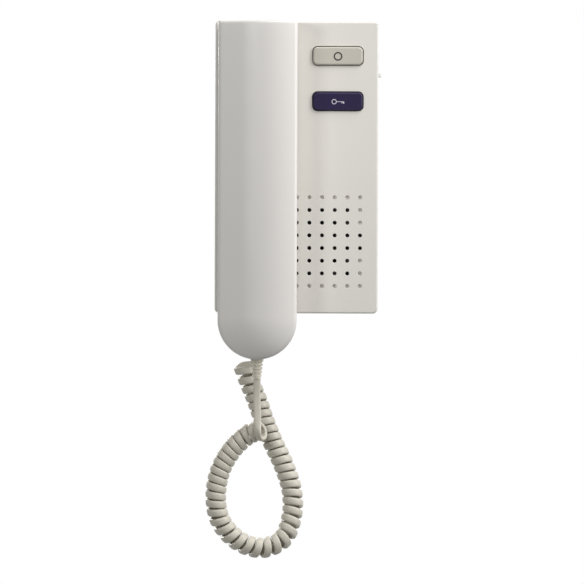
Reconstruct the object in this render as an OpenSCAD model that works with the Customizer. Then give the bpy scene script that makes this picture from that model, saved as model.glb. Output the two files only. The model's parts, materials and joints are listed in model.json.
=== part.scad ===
// Wall door phone: a flat wall unit with two keys and a loudspeaker, and a long handset on a curly cord.
// +X is to the right, -Y towards the viewer, +Z up. The origin is the middle of the wall plate's back face.
// Depths are measured from the wall towards the viewer, so a point at depth d lies at Y = -d.

/* [Wall unit] */
// Width of the wall unit
base_w = 97.8; // [96:0.1:102]
// Height of the wall unit
base_h = 175; // [172:1:186]
// Depth of the wall unit from the wall to its front face
base_d = 25; // [24.5:0.5:28]
// Radius of the housing's two lower corners
corner_r = 3; // [2.6:0.2:5]
// Radius of the housing's two upper corners
top_corner_r = 1.4; // [1.2:0.1:4]
// Bevel round the front face
front_bevel = 1; // [0.6:0.1:1.4]
// Wall thickness of the housing
wall = 2.2; // [1.8:0.1:2.5]
// Height at which the housing's rim stands off the wall
rim_gap = 0.5; // [0.3:0.1:1]
// Clearance between mouldings that lie beside each other
fit_gap = 0.3; // [0.2:0.05:0.4]

/* [Wall plate] */
// Thickness of the wall plate
plate_t = 2.5; // [2:0.1:3]
// Distance between the two wall screws
screw_pitch = 60; // [50:1:70]
// Diameter of the wall screw holes
screw_hole_d = 4.4; // [3.5:0.1:5]
// Width of the cable entry
entry_w = 24; // [16:1:30]
// Height of the cable entry
entry_h = 17; // [10:1:18]
// Height of the cable entry's middle above the origin
entry_z = 15; // [13:0.5:16]

/* [Keys] */
// Width of a key
key_w = 29.7; // [26:0.1:32]
// Height of a key
key_h = 10.7; // [10:0.1:13]
// Corner radius of a key
key_r = 2.6; // [1.5:0.1:4]
// Gap round a key in its window
key_gap = 0.6; // [0.3:0.05:0.8]
// Height of a key above the front face
key_proud = 1.4; // [1.3:0.1:2.4]
// Bevel round a key's face
key_bevel = 0.7; // [0.4:0.1:1]
// Distance from the housing's right edge to the keys
key_edge = 9.4; // [8:0.1:11]
// Distance from the housing's top to the middle of the upper key
light_drop = 20.5; // [18:0.1:22]
// Distance between the middles of the two keys
key_pitch = 27.2; // [24:0.1:29]
// Diameter of the stem behind a key
stem_d = 3.4; // [2.8:0.1:3.8]

/* [Grille] */
// Holes along each side of the grille
grille_n = 8; // [6:1:8]
// Distance between grille holes
grille_pitch = 7.6; // [7:0.1:7.8]
// Diameter of a grille hole
grille_hole_d = 2.4; // [1.6:0.1:3]
// Depth of the blind holes round the grille's edge
dimple_depth = 1.2; // [0.4:0.1:1.6]
// Distance from the housing's right edge to the last column of holes
grille_edge = 10.7; // [9:0.1:12]
// Distance from the housing's bottom to the lowest row of holes
grille_foot = 16.4; // [15.5:0.1:19]

/* [Loudspeaker] */
// Diameter of the loudspeaker's rim
speaker_d = 50; // [45:0.5:51]
// Depth of the loudspeaker's basket
basket_h = 9; // [8:0.5:10]
// Diameter of the magnet
magnet_d = 24; // [18:0.5:28]
// Thickness of the magnet
magnet_h = 6; // [5:0.5:7]

/* [Handset] */
// Width of the handset
handset_w = 47.4; // [45:0.1:48.5]
// Distance by which the handset hangs below the housing
handset_drop = 27.7; // [26:0.1:29]
// Distance from the housing's left edge to the handset
handset_inset = 1.9; // [1:0.1:3]
// Height of the handset's top above the housing's top
handset_rise = 0; // [-0.5:0.1:1]
// Gap between the housing's front face and the handset's grip
handset_gap = 1.2; // [0.8:0.1:2]
// Depth of the seam between the two handset shells
split_d = 34.5; // [33.5:0.1:35]
// Mean depth of the handset's two long front edges
edge_d = 43.4; // [43:0.1:45]
// Drop of the arched front below its tangent over half the handset's width
crown = 6.6; // [4:0.1:7]
// Amount by which the right edge stands out, and the left edge lies back
cant = 4; // [3:0.1:4.4]
// Radius along the front edges
edge_r = 1.6; // [1:0.1:2.2]
// Radius along the back edges
back_r = 3; // [2:0.1:4]
// Length of the round nose
nose_l = 23.6; // [20:0.1:24.5]
// Length over which the front falls back towards the nose
fall_l = 25; // [22:0.5:30]
// Amount by which the front falls back at the nose
fall_d = 9; // [6:0.5:9.5]
// Wall thickness of the handset shells
shell_t = 2; // [1.6:0.1:2.4]

/* [Ear cup] */
// Diameter of the ear cup
cup_d = 38; // [35:0.5:39]
// Gap between the ear cup and its well
cup_gap = 0.6; // [0.4:0.05:1]
// Distance from the housing's top to the middle of the ear cup
cup_drop = 27.5; // [27:0.5:30]
// Tilt of the ear cup, which is the slope of the handset's way off
cup_tilt = 12; // [8:0.5:13]
// Depth of the well along its axis
well_depth = 8; // [7:0.1:8.5]
// Distance between the ear cup's end and the well's floor
cup_clear = 0.8; // [0.6:0.05:1.2]
// Diameter of the receiver capsule
receiver_d = 30; // [24:0.5:31]
// Thickness of the receiver capsule
receiver_h = 7; // [5:0.5:8]

/* [Mouthpiece] */
// Distance by which the mouthpiece reaches behind the housing's front face
mouth_reach = 11.5; // [9:0.5:12]
// Gap between the housing's bottom and the mouthpiece
mouth_gap = 1.2; // [0.8:0.1:2]
// Diameter of the microphone capsule
mic_d = 6; // [5:0.1:6.4]
// Thickness of the microphone capsule
mic_h = 3.5; // [2.5:0.1:5]

/* [Hook switch] */
// Width of the hook lever
lever_w = 7; // [5:0.5:8]
// Diameter of the lever's pin
pin_d = 3; // [2.5:0.1:3.2]
// Length of the lever from its pin to its tip
lever_l = 20.6; // [19:0.2:22]

/* [Volume slide] */
// Distance from the middle of the upper key down to the slide's middle
nub_drop = 11; // [10:0.5:13]
// Height of the slide's nub
nub_h = 3; // [2.5:0.1:4]
// Distance by which the nub stands out of the housing's side
nub_out = 1.9; // [1.2:0.1:2.5]
// Travel of the slide to each side of its middle
nub_travel = 2.5; // [2:0.1:3]

/* [Cord] */
// Width of the flat cord
cord_w = 4.4; // [3.2:0.1:4.4]
// Thickness of the flat cord
cord_t = 2.5; // [2:0.1:2.6]
// Radius of the curls, to the middle of the cord
coil_r = 5; // [4.4:0.1:5.1]

/* [Hidden] */
$fn = 48;

// Overrun of a cut past the face that it opens
over = 1;
// Running clearance of a pin in its bore
run_gap = 0.05;
// Room past the end of a screw in its hole
tip_gap = 0.5;
// Width and depth of a screw's driver slot
drive_w = 0.7;
drive_depth = 0.8;
inner_w = base_w - 2 * wall;
inner_h = base_h - 2 * wall;
cover_in = base_d - wall;

// Circuit board on posts above the wall plate
post_h = 3.5;
post_r = 3;
board_t = 1.6;
board_w = 45;
board_h = 56;
board_margin = 2;
board_top_gap = 0.8;
lug_w = 10;
lug_t = 2;
lug_d = [7.5, 10];
board_d0 = plate_t + post_h;
board_d1 = board_d0 + board_t;
board_x1 = inner_w / 2 - board_margin;
board_x0 = board_x1 - board_w;
board_z1 = inner_h / 2 - fit_gap - lug_t - board_top_gap;
board_z0 = board_z1 - board_h;
board_screw_in = 4;
board_screw_r = 1.2;
board_head_r = 2.4;
board_head_h = 1.6;
board_corners = [for (x = [board_x0 + board_screw_in, board_x1 - board_screw_in],
                      z = [board_z0 + board_screw_in, board_z1 - board_screw_in]) [x, z]];

// Keys, their flanges behind the housing and their switches
key_x = base_w / 2 - key_edge - key_w / 2;
light_z = base_h / 2 - light_drop;
door_z = light_z - key_pitch;
flange_lip = 1.4;
flange_t = 1.5;
flange_d1 = cover_in - fit_gap;
switch_w = 7;
switch_h = 6;
switch_bore = 3;
switch_gap = 0.2;
stem_in = 1;
stem_d0 = board_d1 + switch_h - stem_in;

// Volume slide in the housing's right side
nub_z = light_z - nub_drop;
nub_up = 4;
nub_d = board_d1 + nub_up;
nub_w = 2.6;
slide_t = 1.5;
slide_w = 6;
slide_lap = 0.4;
slide_h = nub_h + 4 * nub_travel + 2 * fit_gap + slide_lap;
slide_x1 = inner_w / 2 - fit_gap;
slide_x0 = slide_x1 - slide_t;
tongue_l = 2;
vol_w = 7;
vol_x1 = slide_x0 - fit_gap;

// Terminal block along the board's lower edge
pole_n = 4;
pole_w = 3.6;
terminal_d = 7;
terminal_h = 9;
terminal_x = board_x0 + 2 * board_screw_in;
terminal_in = 1;
terminal_z0 = board_z0 + terminal_in;
terminal_r = 1.3;
terminal_seat = 3;
terminal_sink = 1;
pole_lip = 0.5;
pole_shift = 1;
wire_w = 2;
wire_up = 1;
wire_h = 1.5;
wire_l = 4;

// Grille and loudspeaker behind it
grille_span = (grille_n - 1) * grille_pitch;
grille_x = base_w / 2 - grille_edge - grille_span / 2;
grille_z = -base_h / 2 + grille_foot + grille_span / 2;
gasket_t = 1;
gasket_w = 3;
basket_t = 1.2;
seat_gap = 0.15;
seat_t = 1.5;
seat_h = 5;
rim_lip = 1;
rim_d1 = cover_in - gasket_t;
rim_d0 = rim_d1 - basket_t;
basket_d0 = rim_d1 - basket_h;
cone_t = 0.5;
cone_drop = 4;
surround_w = 1.4;
dome_h = 1.8;
magnet_bevel = 1;

// Handset outline
handset_x = -base_w / 2 + handset_inset + handset_w / 2;
handset_top = base_h / 2 + handset_rise;
handset_tip = -base_h / 2 - handset_drop;
nose_z = handset_tip + nose_l;
// Height at which the front begins to fall, still on the straight sides
fall_z = max(handset_tip + fall_l, nose_z + edge_r / 2);
back_d = base_d + handset_gap;
// Share of a quarter ellipse that the front's fall runs through
fall_share = 0.98;
// Place across the handset where the flat left part of its front meets the arch, in half widths
flat_end = -0.4;
front_slope = cant + crown * pow(1 - flat_end, 2) / 2;
nose_angles = [0, 15, 30, 45, 57, 67, 75, 81];
nose_end = handset_tip + nose_l * (1 - sin(nose_angles[len(nose_angles) - 1]));

// Ear cup and the well that it sits in
cup_r = cup_d / 2;
well_r = cup_r + cup_gap;
cup_z = base_h / 2 - cup_drop;
cup_end = well_depth - cup_clear;
// Gap between a soft ring and what it holds
ring_gap = 0.1;
receiver_hole_r = 1.2;
receiver_holes = 6;
receiver_hole_ring = 5;
receiver_neck = 4;
receiver_step = 2;
receiver_bevel = 0.5;

// Hook lever behind the well
tip_r = 2.5;
tip_off = 9.5;
tip_air = 0.3;
tip_up = cup_clear - tip_air;
arm_t = 2.6;
arm_back = 1;
link_t = 3.2;
boss_r = 3.2;
ear_gap = 0.7;
ear_t = 2.6;
slot_w = lever_w + 2;
slot_off = [4, 16];
lever_tip = well_point(tip_off, tip_up - tip_r);
lever_reach = 6;
pivot = [lever_tip[0] - lever_reach, lever_tip[1] - lever_l];
plunger_l = 1.5;
plunger_r = 1;
hook_switch_w = 6.4;
hook_switch_z = [8, 20];

// Mouthpiece and microphone
mouth_d = base_d - mouth_reach;
mouth_inset = 2;
mouth_round = 2;
mouth_top = -base_h / 2 - mouth_gap;
mouth_rise = 3;
mouth_low = handset_tip + mouth_rise;
mouth_slope = cup_tilt + 1;
mic_seat = mouth_d + shell_t;
mic_z = (mouth_profile(shell_t, back_d)[2][1] + mouth_profile(shell_t, back_d)[3][1]) / 2;
mic_boot_t = 1.4;
mic_hole_r = 1;

// Screws of the handset and of the cover
upper_screw_drop = 12;
lower_screw_rise = 24;
handset_screw_z = [cup_z - cup_r - upper_screw_drop, nose_z + lower_screw_rise];
boss_out_r = 3.8;
screw_head_r = 2.8;
screw_head_h = 2;
screw_shank_r = 1.4;
handset_sink = 2;
handset_head_d = back_d + handset_sink;
handset_screw_l = 10;
cover_screw_x = handset_x + handset_w;
cover_screw_d = 8;
cover_boss_r = 4.4;
cover_boss_h = 5.2;
cover_sink = 3;
cover_screw_l = 7;
tab_h = 6;

// Cord, its bush under the wall unit and the boot under the handset
grommet_d = 7.2;
grommet_r = 3.3;
grommet_flange = 1.1;
grommet_nose = 5;
grommet_lip = 1;
grommet_wall = 0.3;
grommet_step = 0.4;
grommet_end = -base_h / 2 - fit_gap - 2 * grommet_flange - grommet_nose;
boot_d = 31;
boot_r = [3.9, 2.5];
boot_l = 12;
boot_stem_r = 2.6;
boot_stem_l = 5;
boot_rows = 5;
boot_slot_h = 0.9;
boot_spine = 1;
// Share of the boot's radius that its slots leave
boot_core = 0.8;
boot_top = nose_end - ring_gap;
boot_end = boot_top - boot_l;
cord_join = 0.1;

// Middle line of the curls from the wall unit to the handset, as X, Y, height from the wall unit's bottom
// and distance between curls
coil_route = [
    [-31.6, -10, -31.3, 8], [-29.6, -10.3, -37, 6.2], [-27, -10.7, -43.5, 5.5], [-23.2, -11.2, -52.6, 5.1],
    [-19, -11.7, -64.5, 5], [-13.4, -12.2, -78, 5], [-7.2, -12.7, -91, 5], [-2.3, -13.2, -106, 5.2],
    [-2, -14, -121, 5.6], [-7.2, -15.5, -135, 5.8], [-20, -17.5, -141, 5.8], [-34.4, -19.5, -136.6, 5.7],
    [-45, -21, -124.6, 5.4], [-47.8, -22, -109.4, 4.9], [-45, -22.6, -94, 4.6],
    [-38, -23.2, -81.7, 4.5], [-30, -24, -73.9, 4.7], [-24.8, -25, -71.2, 5.6], [-19.8, -28.4, -70.3, 6.5]
];
// Free stretch below the wall unit's bush, as X, Y and Z from the bush's end
lead_route = [[0, 0, -2], [0, 0, -9], [0, 0.3, -16], [-0.6, 1.2, -20.7], [-3.2, 2.1, -23.3]];
// Free stretch up to the handset's boot, as X, Y and Z from the boot's end
tail_route = [[0.5, -1, -25.5], [0.3, -0.5, -18], [0, 0, -10.5], [0, 0, -4.3]];
axis_steps = 8;
rings_per_curl = 8;
// Six corners across the flat cord, as shares of half its width and half its thickness
cord_corners = [[1, 0], [0.6, 1], [-0.6, 1], [-1, 0], [-0.6, -1], [0.6, -1]];
cord_sides = len(cord_corners);

case_colour = "#DBD8D1";
handset_colour = "#D9D6D1";
cord_colour = "#C9C4B7";
metal_colour = "#B9BCBF";
dark_colour = "#2B2B2E";

// Point of the ear well at a distance down its floor and a height above it, as depth and Z
function well_point(down, up) = [
    base_d - (well_depth - up) * cos(cup_tilt) + down * sin(cup_tilt),
    cup_z - (well_depth - up) * sin(cup_tilt) - down * cos(cup_tilt)
];

// Shapes drawn in X and Z, carried from one depth to another
module slab(d0, d1) translate([0, -d0, 0]) rotate([90, 0, 0]) linear_extrude(d1 - d0) children();

// Shapes drawn in depth and Z, carried from one X to another
module side_slab(x0, x1) translate([x1, 0, 0]) rotate([90, 0, -90]) linear_extrude(x1 - x0) children();

// Shapes drawn in X and depth, carried from one Z to another
module floor_slab(z0, z1) translate([0, 0, z0]) linear_extrude(z1 - z0) mirror([0, 1]) children();

module along_y(x, z, d0, d1, r) translate([x, -d0, z]) rotate([90, 0, 0]) cylinder(h = d1 - d0, r = r);
module along_z(x, d, z0, z1, r) translate([x, -d, z0]) cylinder(h = z1 - z0, r = r);
module box(x0, x1, d0, d1, z0, z1) translate([x0, -d1, z0]) cube([x1 - x0, d1 - d0, z1 - z0]);

// Profiles drawn in radius and depth, turned round an axis that leaves the wall at X and Z
module turned(x, z) translate([x, 0, z]) rotate([90, 0, 0]) rotate_extrude() children();

// Local +Z runs down the ear well's axis into the wall unit, and local +Y runs down its floor
module ear_axis() translate([handset_x, -base_d, cup_z]) rotate([-(90 + cup_tilt), 0, 0]) children();

// Rectangle with round corners, whose upper two may have a radius of their own
module rounded(w, h, r, top_r = undef) {
    t = is_undef(top_r) ? r : top_r;
    translate([-w / 2, -h / 2 + r]) square([w, h - r - t]);
    translate([-w / 2 + r, -h / 2]) square([w - 2 * r, h / 2]);
    translate([-w / 2 + t, 0]) square([w - 2 * t, h / 2]);
    for (x = [-1, 1]) {
        translate([x * (w / 2 - r), -h / 2 + r]) circle(r);
        translate([x * (w / 2 - t), h / 2 - t]) circle(t);
    }
}

// Half outline of a block whose far edges are cut at 45 degrees
function bevel_outline(half, bevel, d0, d1) = [
    [d0 - over, -half - over], [d1 - bevel - over, -half - over], [d1 + over, -half + bevel + over],
    [d1 + over, half - bevel - over], [d1 - bevel - over, half + over], [d0 - over, half + over]
];

// Upright rounded block with a bevel round its front face
module bevelled(w, h, r, top_r, bevel, d0, d1) intersection() {
    slab(d0, d1) rounded(w, h, r, top_r);
    side_slab(-w, w) polygon(bevel_outline(h / 2, bevel, d0, d1));
    floor_slab(-h, h) polygon([for (p = bevel_outline(w / 2, bevel, d0, d1)) [p[1], p[0]]]);
}

// Front depth of the handset at a distance from its middle line and a height
function front_depth(x, z) =
    let (u = 2 * x / handset_w, s = min(1, max(0, (handset_tip + fall_l - z) / fall_l)))
    edge_d - cant + front_slope * (u + 1) - crown * pow(max(0, u - flat_end), 2)
        - fall_d * (1 - sqrt(1 - fall_share * s * s));

// One cross-section of a shell, from the seam on the left over the arch to the seam on the right
function section(z, half, seam, r, lift) =
    let (
        rr = min(r, half / 2),
        turn = [0, 30, 60, 90],
        steps = 8,
        left = [for (a = turn) [-half + rr * (1 - cos(a)), rr * (1 - sin(a))]],
        span = 2 * (half - rr),
        middle = [for (i = [1:steps - 1]) [-half + rr + span * i / steps, 0]],
        right = [for (i = [len(turn) - 1:-1:0]) [-left[i][0], left[i][1]]],
        top = concat(left, middle, right)
    )
    concat([[-half, -seam, z]], [for (p = top) [p[0], -lift(p[0], z) + p[1], z]], [[half, -seam, z]]);

// Cross-sections from the handset's top to its nose, inset by a wall, with a rounded top edge
function stations(inset, seam, r, lift) =
    let (
        half = handset_w / 2 - inset,
        top = handset_top - inset,
        round_top = [for (a = [0, 30, 60]) [top - r * (1 - cos(a)), r * (1 - sin(a))]]
    )
    concat(
        [for (p = round_top) section(p[0], half, seam, r, function(x, z) lift(x, z) - p[1])],
        [for (z = [top - r, fall_z]) section(z, half, seam, r, lift)],
        [for (a = nose_angles) section(nose_z - (nose_l - inset) * sin(a), half * cos(a), seam, r, lift)]
    );

// Open shell between an outer and an inner list of cross-sections that both end on the seam
module shell_between(outer, inner) {
    n = len(outer[0]);
    m = len(outer);
    last = m * n;
    points = concat([for (s = outer, p = s) p], [for (s = inner, p = s) p]);
    polyhedron(points, concat(
        [for (k = [0:m - 2], i = [0:n - 2], f = quad(k * n + i, k * n + i + 1,
            (k + 1) * n + i + 1, (k + 1) * n + i)) f],
        [for (k = [0:m - 2], i = [0:n - 2], f = quad(last + (k + 1) * n + i, last + (k + 1) * n + i + 1,
            last + k * n + i + 1, last + k * n + i)) f],
        [for (k = [0:m - 2], f = quad(k * n, (k + 1) * n, last + (k + 1) * n, last + k * n)) f],
        [for (k = [1:m - 1], f = quad(last + k * n - 1, last + (k + 1) * n - 1,
            (k + 1) * n - 1, k * n - 1)) f],
        quad(0, last, last + n - 1, n - 1),
        quad(last + last - n, last - n, last - 1, last + last - 1),
        [[for (i = [n - 1:-1:0]) i], [for (i = [0:n - 1]) last + i]],
        [[for (i = [0:n - 1]) last - n + i], [for (i = [n - 1:-1:0]) last + last - n + i]]
    ));
}

function quad(a, b, c, d) = [[a, b, c], [a, c, d]];

// Screw with a driver slot, its head below local Z 0 and its shank above
module slotted_screw(head_r, head_h, shank_r, shank_l) difference() {
    union() {
        translate([0, 0, -head_h]) cylinder(h = head_h, r = head_r);
        translate([0, 0, -head_h / 4]) cylinder(h = shank_l + head_h / 4, r = shank_r);
    }
    translate([-head_r - over, -drive_w / 2, -head_h - over])
        cube([2 * (head_r + over), drive_w, drive_depth + over]);
}

module wall_plate() color(case_colour) difference() {
    union() {
        slab(0, plate_t) rounded(inner_w - 2 * fit_gap, inner_h - 2 * fit_gap, corner_r - wall / 2);
        for (c = board_corners) along_y(c[0], c[1], plate_t / 2, board_d0, post_r);
        for (side = [-1, 1]) pin_ear(side);
        cover_tab();
        for (side = [-1, 1]) cover_lug(side * base_w / 4);
    }
    translate([0, 0, entry_z]) slab(-over, plate_t + over) rounded(entry_w, entry_h, corner_r);
    for (side = [-1, 1]) along_y(side * screw_pitch / 2, 0, -over, plate_t + over, screw_hole_d / 2);
    for (c = board_corners) along_y(c[0], c[1], plate_t, board_d0 + over, board_screw_r);
    along_z(cover_screw_x, cover_screw_d, -base_h / 2, -base_h / 2 + cover_sink + cover_screw_l + tip_gap,
        screw_shank_r + run_gap);
}

// Ear that carries one end of the hook lever's pin
module pin_ear(side) {
    near = handset_x + side * (lever_w / 2 + ear_gap);
    far = near + side * ear_t;
    side_slab(min(near, far), max(near, far)) difference() {
        union() {
            translate([plate_t / 2, pivot[1] - boss_r]) square([pivot[0] - plate_t / 2, 2 * boss_r]);
            translate(pivot) circle(boss_r);
        }
        translate(pivot) circle(pin_d / 2 + run_gap / 2);
    }
}

function tab_z0() = -base_h / 2 + cover_boss_h + fit_gap;

// Upright tab that the cover's screw goes into
module cover_tab() box(cover_screw_x - cover_boss_r, cover_screw_x + cover_boss_r,
    plate_t / 2, cover_screw_d + cover_boss_r, tab_z0(), tab_z0() + tab_h);

// Hooked lug that holds the cover's top
module cover_lug(x) {
    hook = wall / 2;
    z1 = inner_h / 2 - fit_gap;
    box(x - lug_w / 2, x + lug_w / 2, plate_t / 2, lug_d[1], z1 - lug_t, z1);
    box(x - lug_w / 2, x + lug_w / 2, lug_d[0], lug_d[1], z1 - lug_t, z1 + hook);
}

module front_cover() color(case_colour) difference() {
    union() {
        difference() {
            bevelled(base_w, base_h, corner_r, top_corner_r, front_bevel, rim_gap, base_d);
            slab(-over, cover_in)
                rounded(inner_w, inner_h, corner_r - wall / 2, top_corner_r - wall / 2);
        }
        intersection() {
            ear_axis() translate([0, 0, -cup_r]) cylinder(h = cup_r + well_depth + wall, r = well_r + wall);
            slab(plate_t, base_d - wall / 2) square([2 * base_w, 2 * base_h], center = true);
        }
        turned(grille_x, grille_z) translate([speaker_d / 2 + seat_gap, cover_in - seat_h])
            square([seat_t, seat_h + wall / 2]);
        along_z(cover_screw_x, cover_screw_d, -base_h / 2 + wall / 2, -base_h / 2 + cover_boss_h,
            cover_boss_r);
    }
    ear_axis() translate([0, 0, -cup_r]) cylinder(h = cup_r + well_depth, r = well_r);
    ear_axis() translate([-slot_w / 2, slot_off[0], well_depth - over])
        cube([slot_w, slot_off[1] - slot_off[0], wall + 2 * over]);
    for (z = [light_z, door_z]) translate([key_x, 0, z]) slab(cover_in - over, base_d + over)
        rounded(key_w + 2 * key_gap, key_h + 2 * key_gap, key_r + key_gap);
    grille_holes();
    box(inner_w / 2 - over, base_w / 2 + over, nub_d - nub_w / 2 - fit_gap, nub_d + nub_w / 2 + fit_gap,
        nub_z - nub_h / 2 - nub_travel - fit_gap, nub_z + nub_h / 2 + nub_travel + fit_gap);
    along_z(cover_screw_x, cover_screw_d, -base_h / 2 - over, -base_h / 2 + cover_sink,
        screw_head_r + fit_gap);
    along_z(cover_screw_x, cover_screw_d, -base_h / 2, -base_h / 2 + cover_boss_h + over,
        screw_shank_r + fit_gap);
    along_z(handset_x, grommet_d, -base_h / 2 - over, -base_h / 2 + wall + over, grommet_r + fit_gap / 2);
    for (side = [-1, 1]) lug_pocket(side * base_w / 4);
}

// Pocket in the top wall for a lug's hook
module lug_pocket(x) box(x - lug_w / 2 - fit_gap, x + lug_w / 2 + fit_gap, lug_d[0] - fit_gap,
    lug_d[1] + fit_gap, inner_h / 2 - over, inner_h / 2 + wall / 2);

// Round holes in a square field: open over the loudspeaker, blind round the field's edge
module grille_holes() for (c = [0:grille_n - 1], r = [0:grille_n - 1]) {
    last = grille_n - 1;
    inside = r > 0 && r < last && c > 0 && c < last;
    centre_rows = r == floor(last / 2) || r == ceil(last / 2);
    open = inside || (centre_rows && (c == 0 || c == last));
    along_y(grille_x - grille_span / 2 + c * grille_pitch, grille_z - grille_span / 2 + r * grille_pitch,
        open ? cover_in - over : base_d - dimple_depth, base_d + over, grille_hole_d / 2);
}

// Key with a flange that keeps it in its window and a stem that works the switch
module key(z) {
    translate([key_x, 0, z]) {
        bevelled(key_w, key_h, key_r, key_r, key_bevel, flange_d1 - flange_t / 2, base_d + key_proud);
        slab(flange_d1 - flange_t, flange_d1)
            rounded(key_w + 2 * flange_lip, key_h + 2 * flange_lip, key_r + flange_lip);
    }
    along_y(key_x, z, stem_d0, flange_d1 - flange_t / 2, stem_d / 2);
}

module light_button() color("#B9B5AA") key(light_z);
module door_button() color("#352D4C") key(door_z);

module volume_slider() color(case_colour) {
    box(slide_x0, slide_x1, nub_d - slide_w / 2, nub_d + slide_w / 2,
        nub_z - slide_h / 2, nub_z + slide_h / 2);
    box(slide_x1 - slide_t / 2, base_w / 2 + nub_out, nub_d - nub_w / 2, nub_d + nub_w / 2,
        nub_z - nub_h / 2, nub_z + nub_h / 2);
    box(slide_x0 - tongue_l, slide_x0 + slide_t / 2, nub_d - nub_w / 2, nub_d + nub_w / 2,
        nub_z - nub_h / 2, nub_z + nub_h / 2);
}

module volume_switch() color(dark_colour) difference() {
    box(vol_x1 - vol_w, vol_x1, board_d1, nub_d + slide_w / 2, nub_z - slide_h / 2, nub_z + slide_h / 2);
    box(vol_x1 - tongue_l - fit_gap, vol_x1 + over, nub_d - nub_w / 2 - fit_gap, nub_d + nub_w / 2 + fit_gap,
        nub_z - nub_h / 2 - nub_travel - fit_gap, nub_z + nub_h / 2 + nub_travel + fit_gap);
}

module circuit_board() color("#2F6B45") difference() {
    box(board_x0, board_x1, board_d0, board_d1, board_z0, board_z1);
    for (c = board_corners) along_y(c[0], c[1], board_d0 - over, board_d1 + over, board_screw_r + fit_gap);
}

module board_screws() color(metal_colour) for (c = board_corners)
    translate([c[0], -board_d1, c[1]]) rotate([-90, 0, 0])
        slotted_screw(board_head_r, board_head_h, board_screw_r - run_gap, board_d1 - plate_t - tip_gap);

module key_switches() color(dark_colour) for (z = [light_z, door_z]) difference() {
    box(key_x - switch_w / 2, key_x + switch_w / 2, board_d1, board_d1 + switch_h,
        z - switch_w / 2, z + switch_w / 2);
    along_y(key_x, z, board_d1 + switch_h - switch_bore, board_d1 + switch_h + over,
        stem_d / 2 + switch_gap);
}

module terminal_block() color("#3F7F5C") difference() {
    box(terminal_x, terminal_x + pole_n * pole_w + 2 * pole_lip, board_d1, board_d1 + terminal_h,
        terminal_z0, terminal_z0 + terminal_d);
    for (i = [0:pole_n - 1]) {
        along_y(pole_x(i), pole_z(), board_d1 + terminal_seat, board_d1 + terminal_h + over,
            terminal_r + fit_gap / 2);
        box(pole_x(i) - wire_w / 2, pole_x(i) + wire_w / 2, board_d1 + wire_up, board_d1 + wire_up + wire_h,
            terminal_z0 - over, terminal_z0 + wire_l);
    }
}

function pole_x(i) = terminal_x + pole_lip + pole_w * (i + 1 / 2);
function pole_z() = terminal_z0 + terminal_d / 2 + pole_shift;

module terminal_screws() color(metal_colour) for (i = [0:pole_n - 1])
    translate([pole_x(i), terminal_sink - board_d1 - terminal_h + 2 * drive_depth, pole_z()])
        rotate([-90, 0, 0]) slotted_screw(terminal_r, 2 * drive_depth, terminal_r,
            terminal_h - terminal_sink - 2 * drive_depth - terminal_seat);

module speaker_gasket() color("#4A4A4C") turned(grille_x, grille_z)
    translate([speaker_d / 2 - gasket_w, rim_d1]) square([gasket_w, gasket_t]);

// Moulded frame: a flat rim, a sloping wall and a back plate that carries the magnet
module speaker_basket() color(dark_colour) turned(grille_x, grille_z) polygon([
    [speaker_d / 2, rim_d1], [rim_r() - rim_lip, rim_d1], [rim_r() - rim_lip, rim_d0],
    [magnet_d / 2, basket_d0 + basket_t], [magnet_d / 4, basket_d0 + basket_t], [magnet_d / 4, basket_d0],
    [magnet_d / 2 + rim_lip, basket_d0], [rim_r(), rim_d0 - basket_t / 2], [speaker_d / 2, rim_d0]
]);

function rim_r() = speaker_d / 2 - gasket_w;

// Paper cone with a flat surround and a domed cap in its middle
module speaker_cone() color(dark_colour) {
    r = rim_r() - rim_lip - ring_gap;
    fold_r = r - surround_w;
    hub_r = magnet_d / 4;
    edge = rim_d1 - cone_t;
    hub = edge - cone_drop;
    turned(grille_x, grille_z) polygon([
        [0, hub + dome_h], [hub_r / 2, hub + 3 / 4 * dome_h], [hub_r, hub], [fold_r, edge], [r, edge],
        [r, edge - cone_t], [fold_r, edge - cone_t], [hub_r, hub - cone_t], [0, hub - cone_t + dome_h / 2]
    ]);
}

module speaker_magnet() color(metal_colour) turned(grille_x, grille_z) polygon([
    [0, basket_d0], [magnet_d / 2, basket_d0], [magnet_d / 2, basket_d0 - magnet_h + magnet_bevel],
    [magnet_d / 2 - magnet_bevel, basket_d0 - magnet_h], [0, basket_d0 - magnet_h]
]);

// Lever whose round tip comes through the well's floor and whose arm works the microswitch
module hook_lever() color(case_colour)
    side_slab(handset_x - lever_w / 2, handset_x + lever_w / 2) difference() {
        union() {
            translate(pivot) circle(boss_r);
            translate([pivot[0] - arm_back, pivot[1]]) square([arm_t, lever_l + link_t / 2]);
            translate([pivot[0], lever_tip[1] - link_t / 2]) square([lever_tip[0] - pivot[0], link_t]);
            translate(lever_tip) circle(tip_r);
        }
        translate(pivot) circle(pin_d / 2 + run_gap);
    }

module hook_pin() color(metal_colour)
    side_slab(handset_x - lever_w / 2 - ear_gap - ear_t, handset_x + lever_w / 2 + ear_gap + ear_t)
        translate(pivot) circle(pin_d / 2);

module hook_switch() color(dark_colour) {
    d1 = pivot[0] - arm_back - fit_gap;
    z0 = pivot[1] + hook_switch_z[0];
    z1 = pivot[1] + hook_switch_z[1];
    box(handset_x - hook_switch_w / 2, handset_x + hook_switch_w / 2, plate_t, d1 - plunger_l, z0, z1);
    along_y(handset_x, (z0 + z1) / 2, d1 - plunger_l - over, d1, plunger_r);
}

module cover_screw() color(metal_colour) translate([cover_screw_x, -cover_screw_d, -base_h / 2 + cover_sink])
    slotted_screw(screw_head_r, screw_head_h, screw_shank_r, cover_screw_l);

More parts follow.
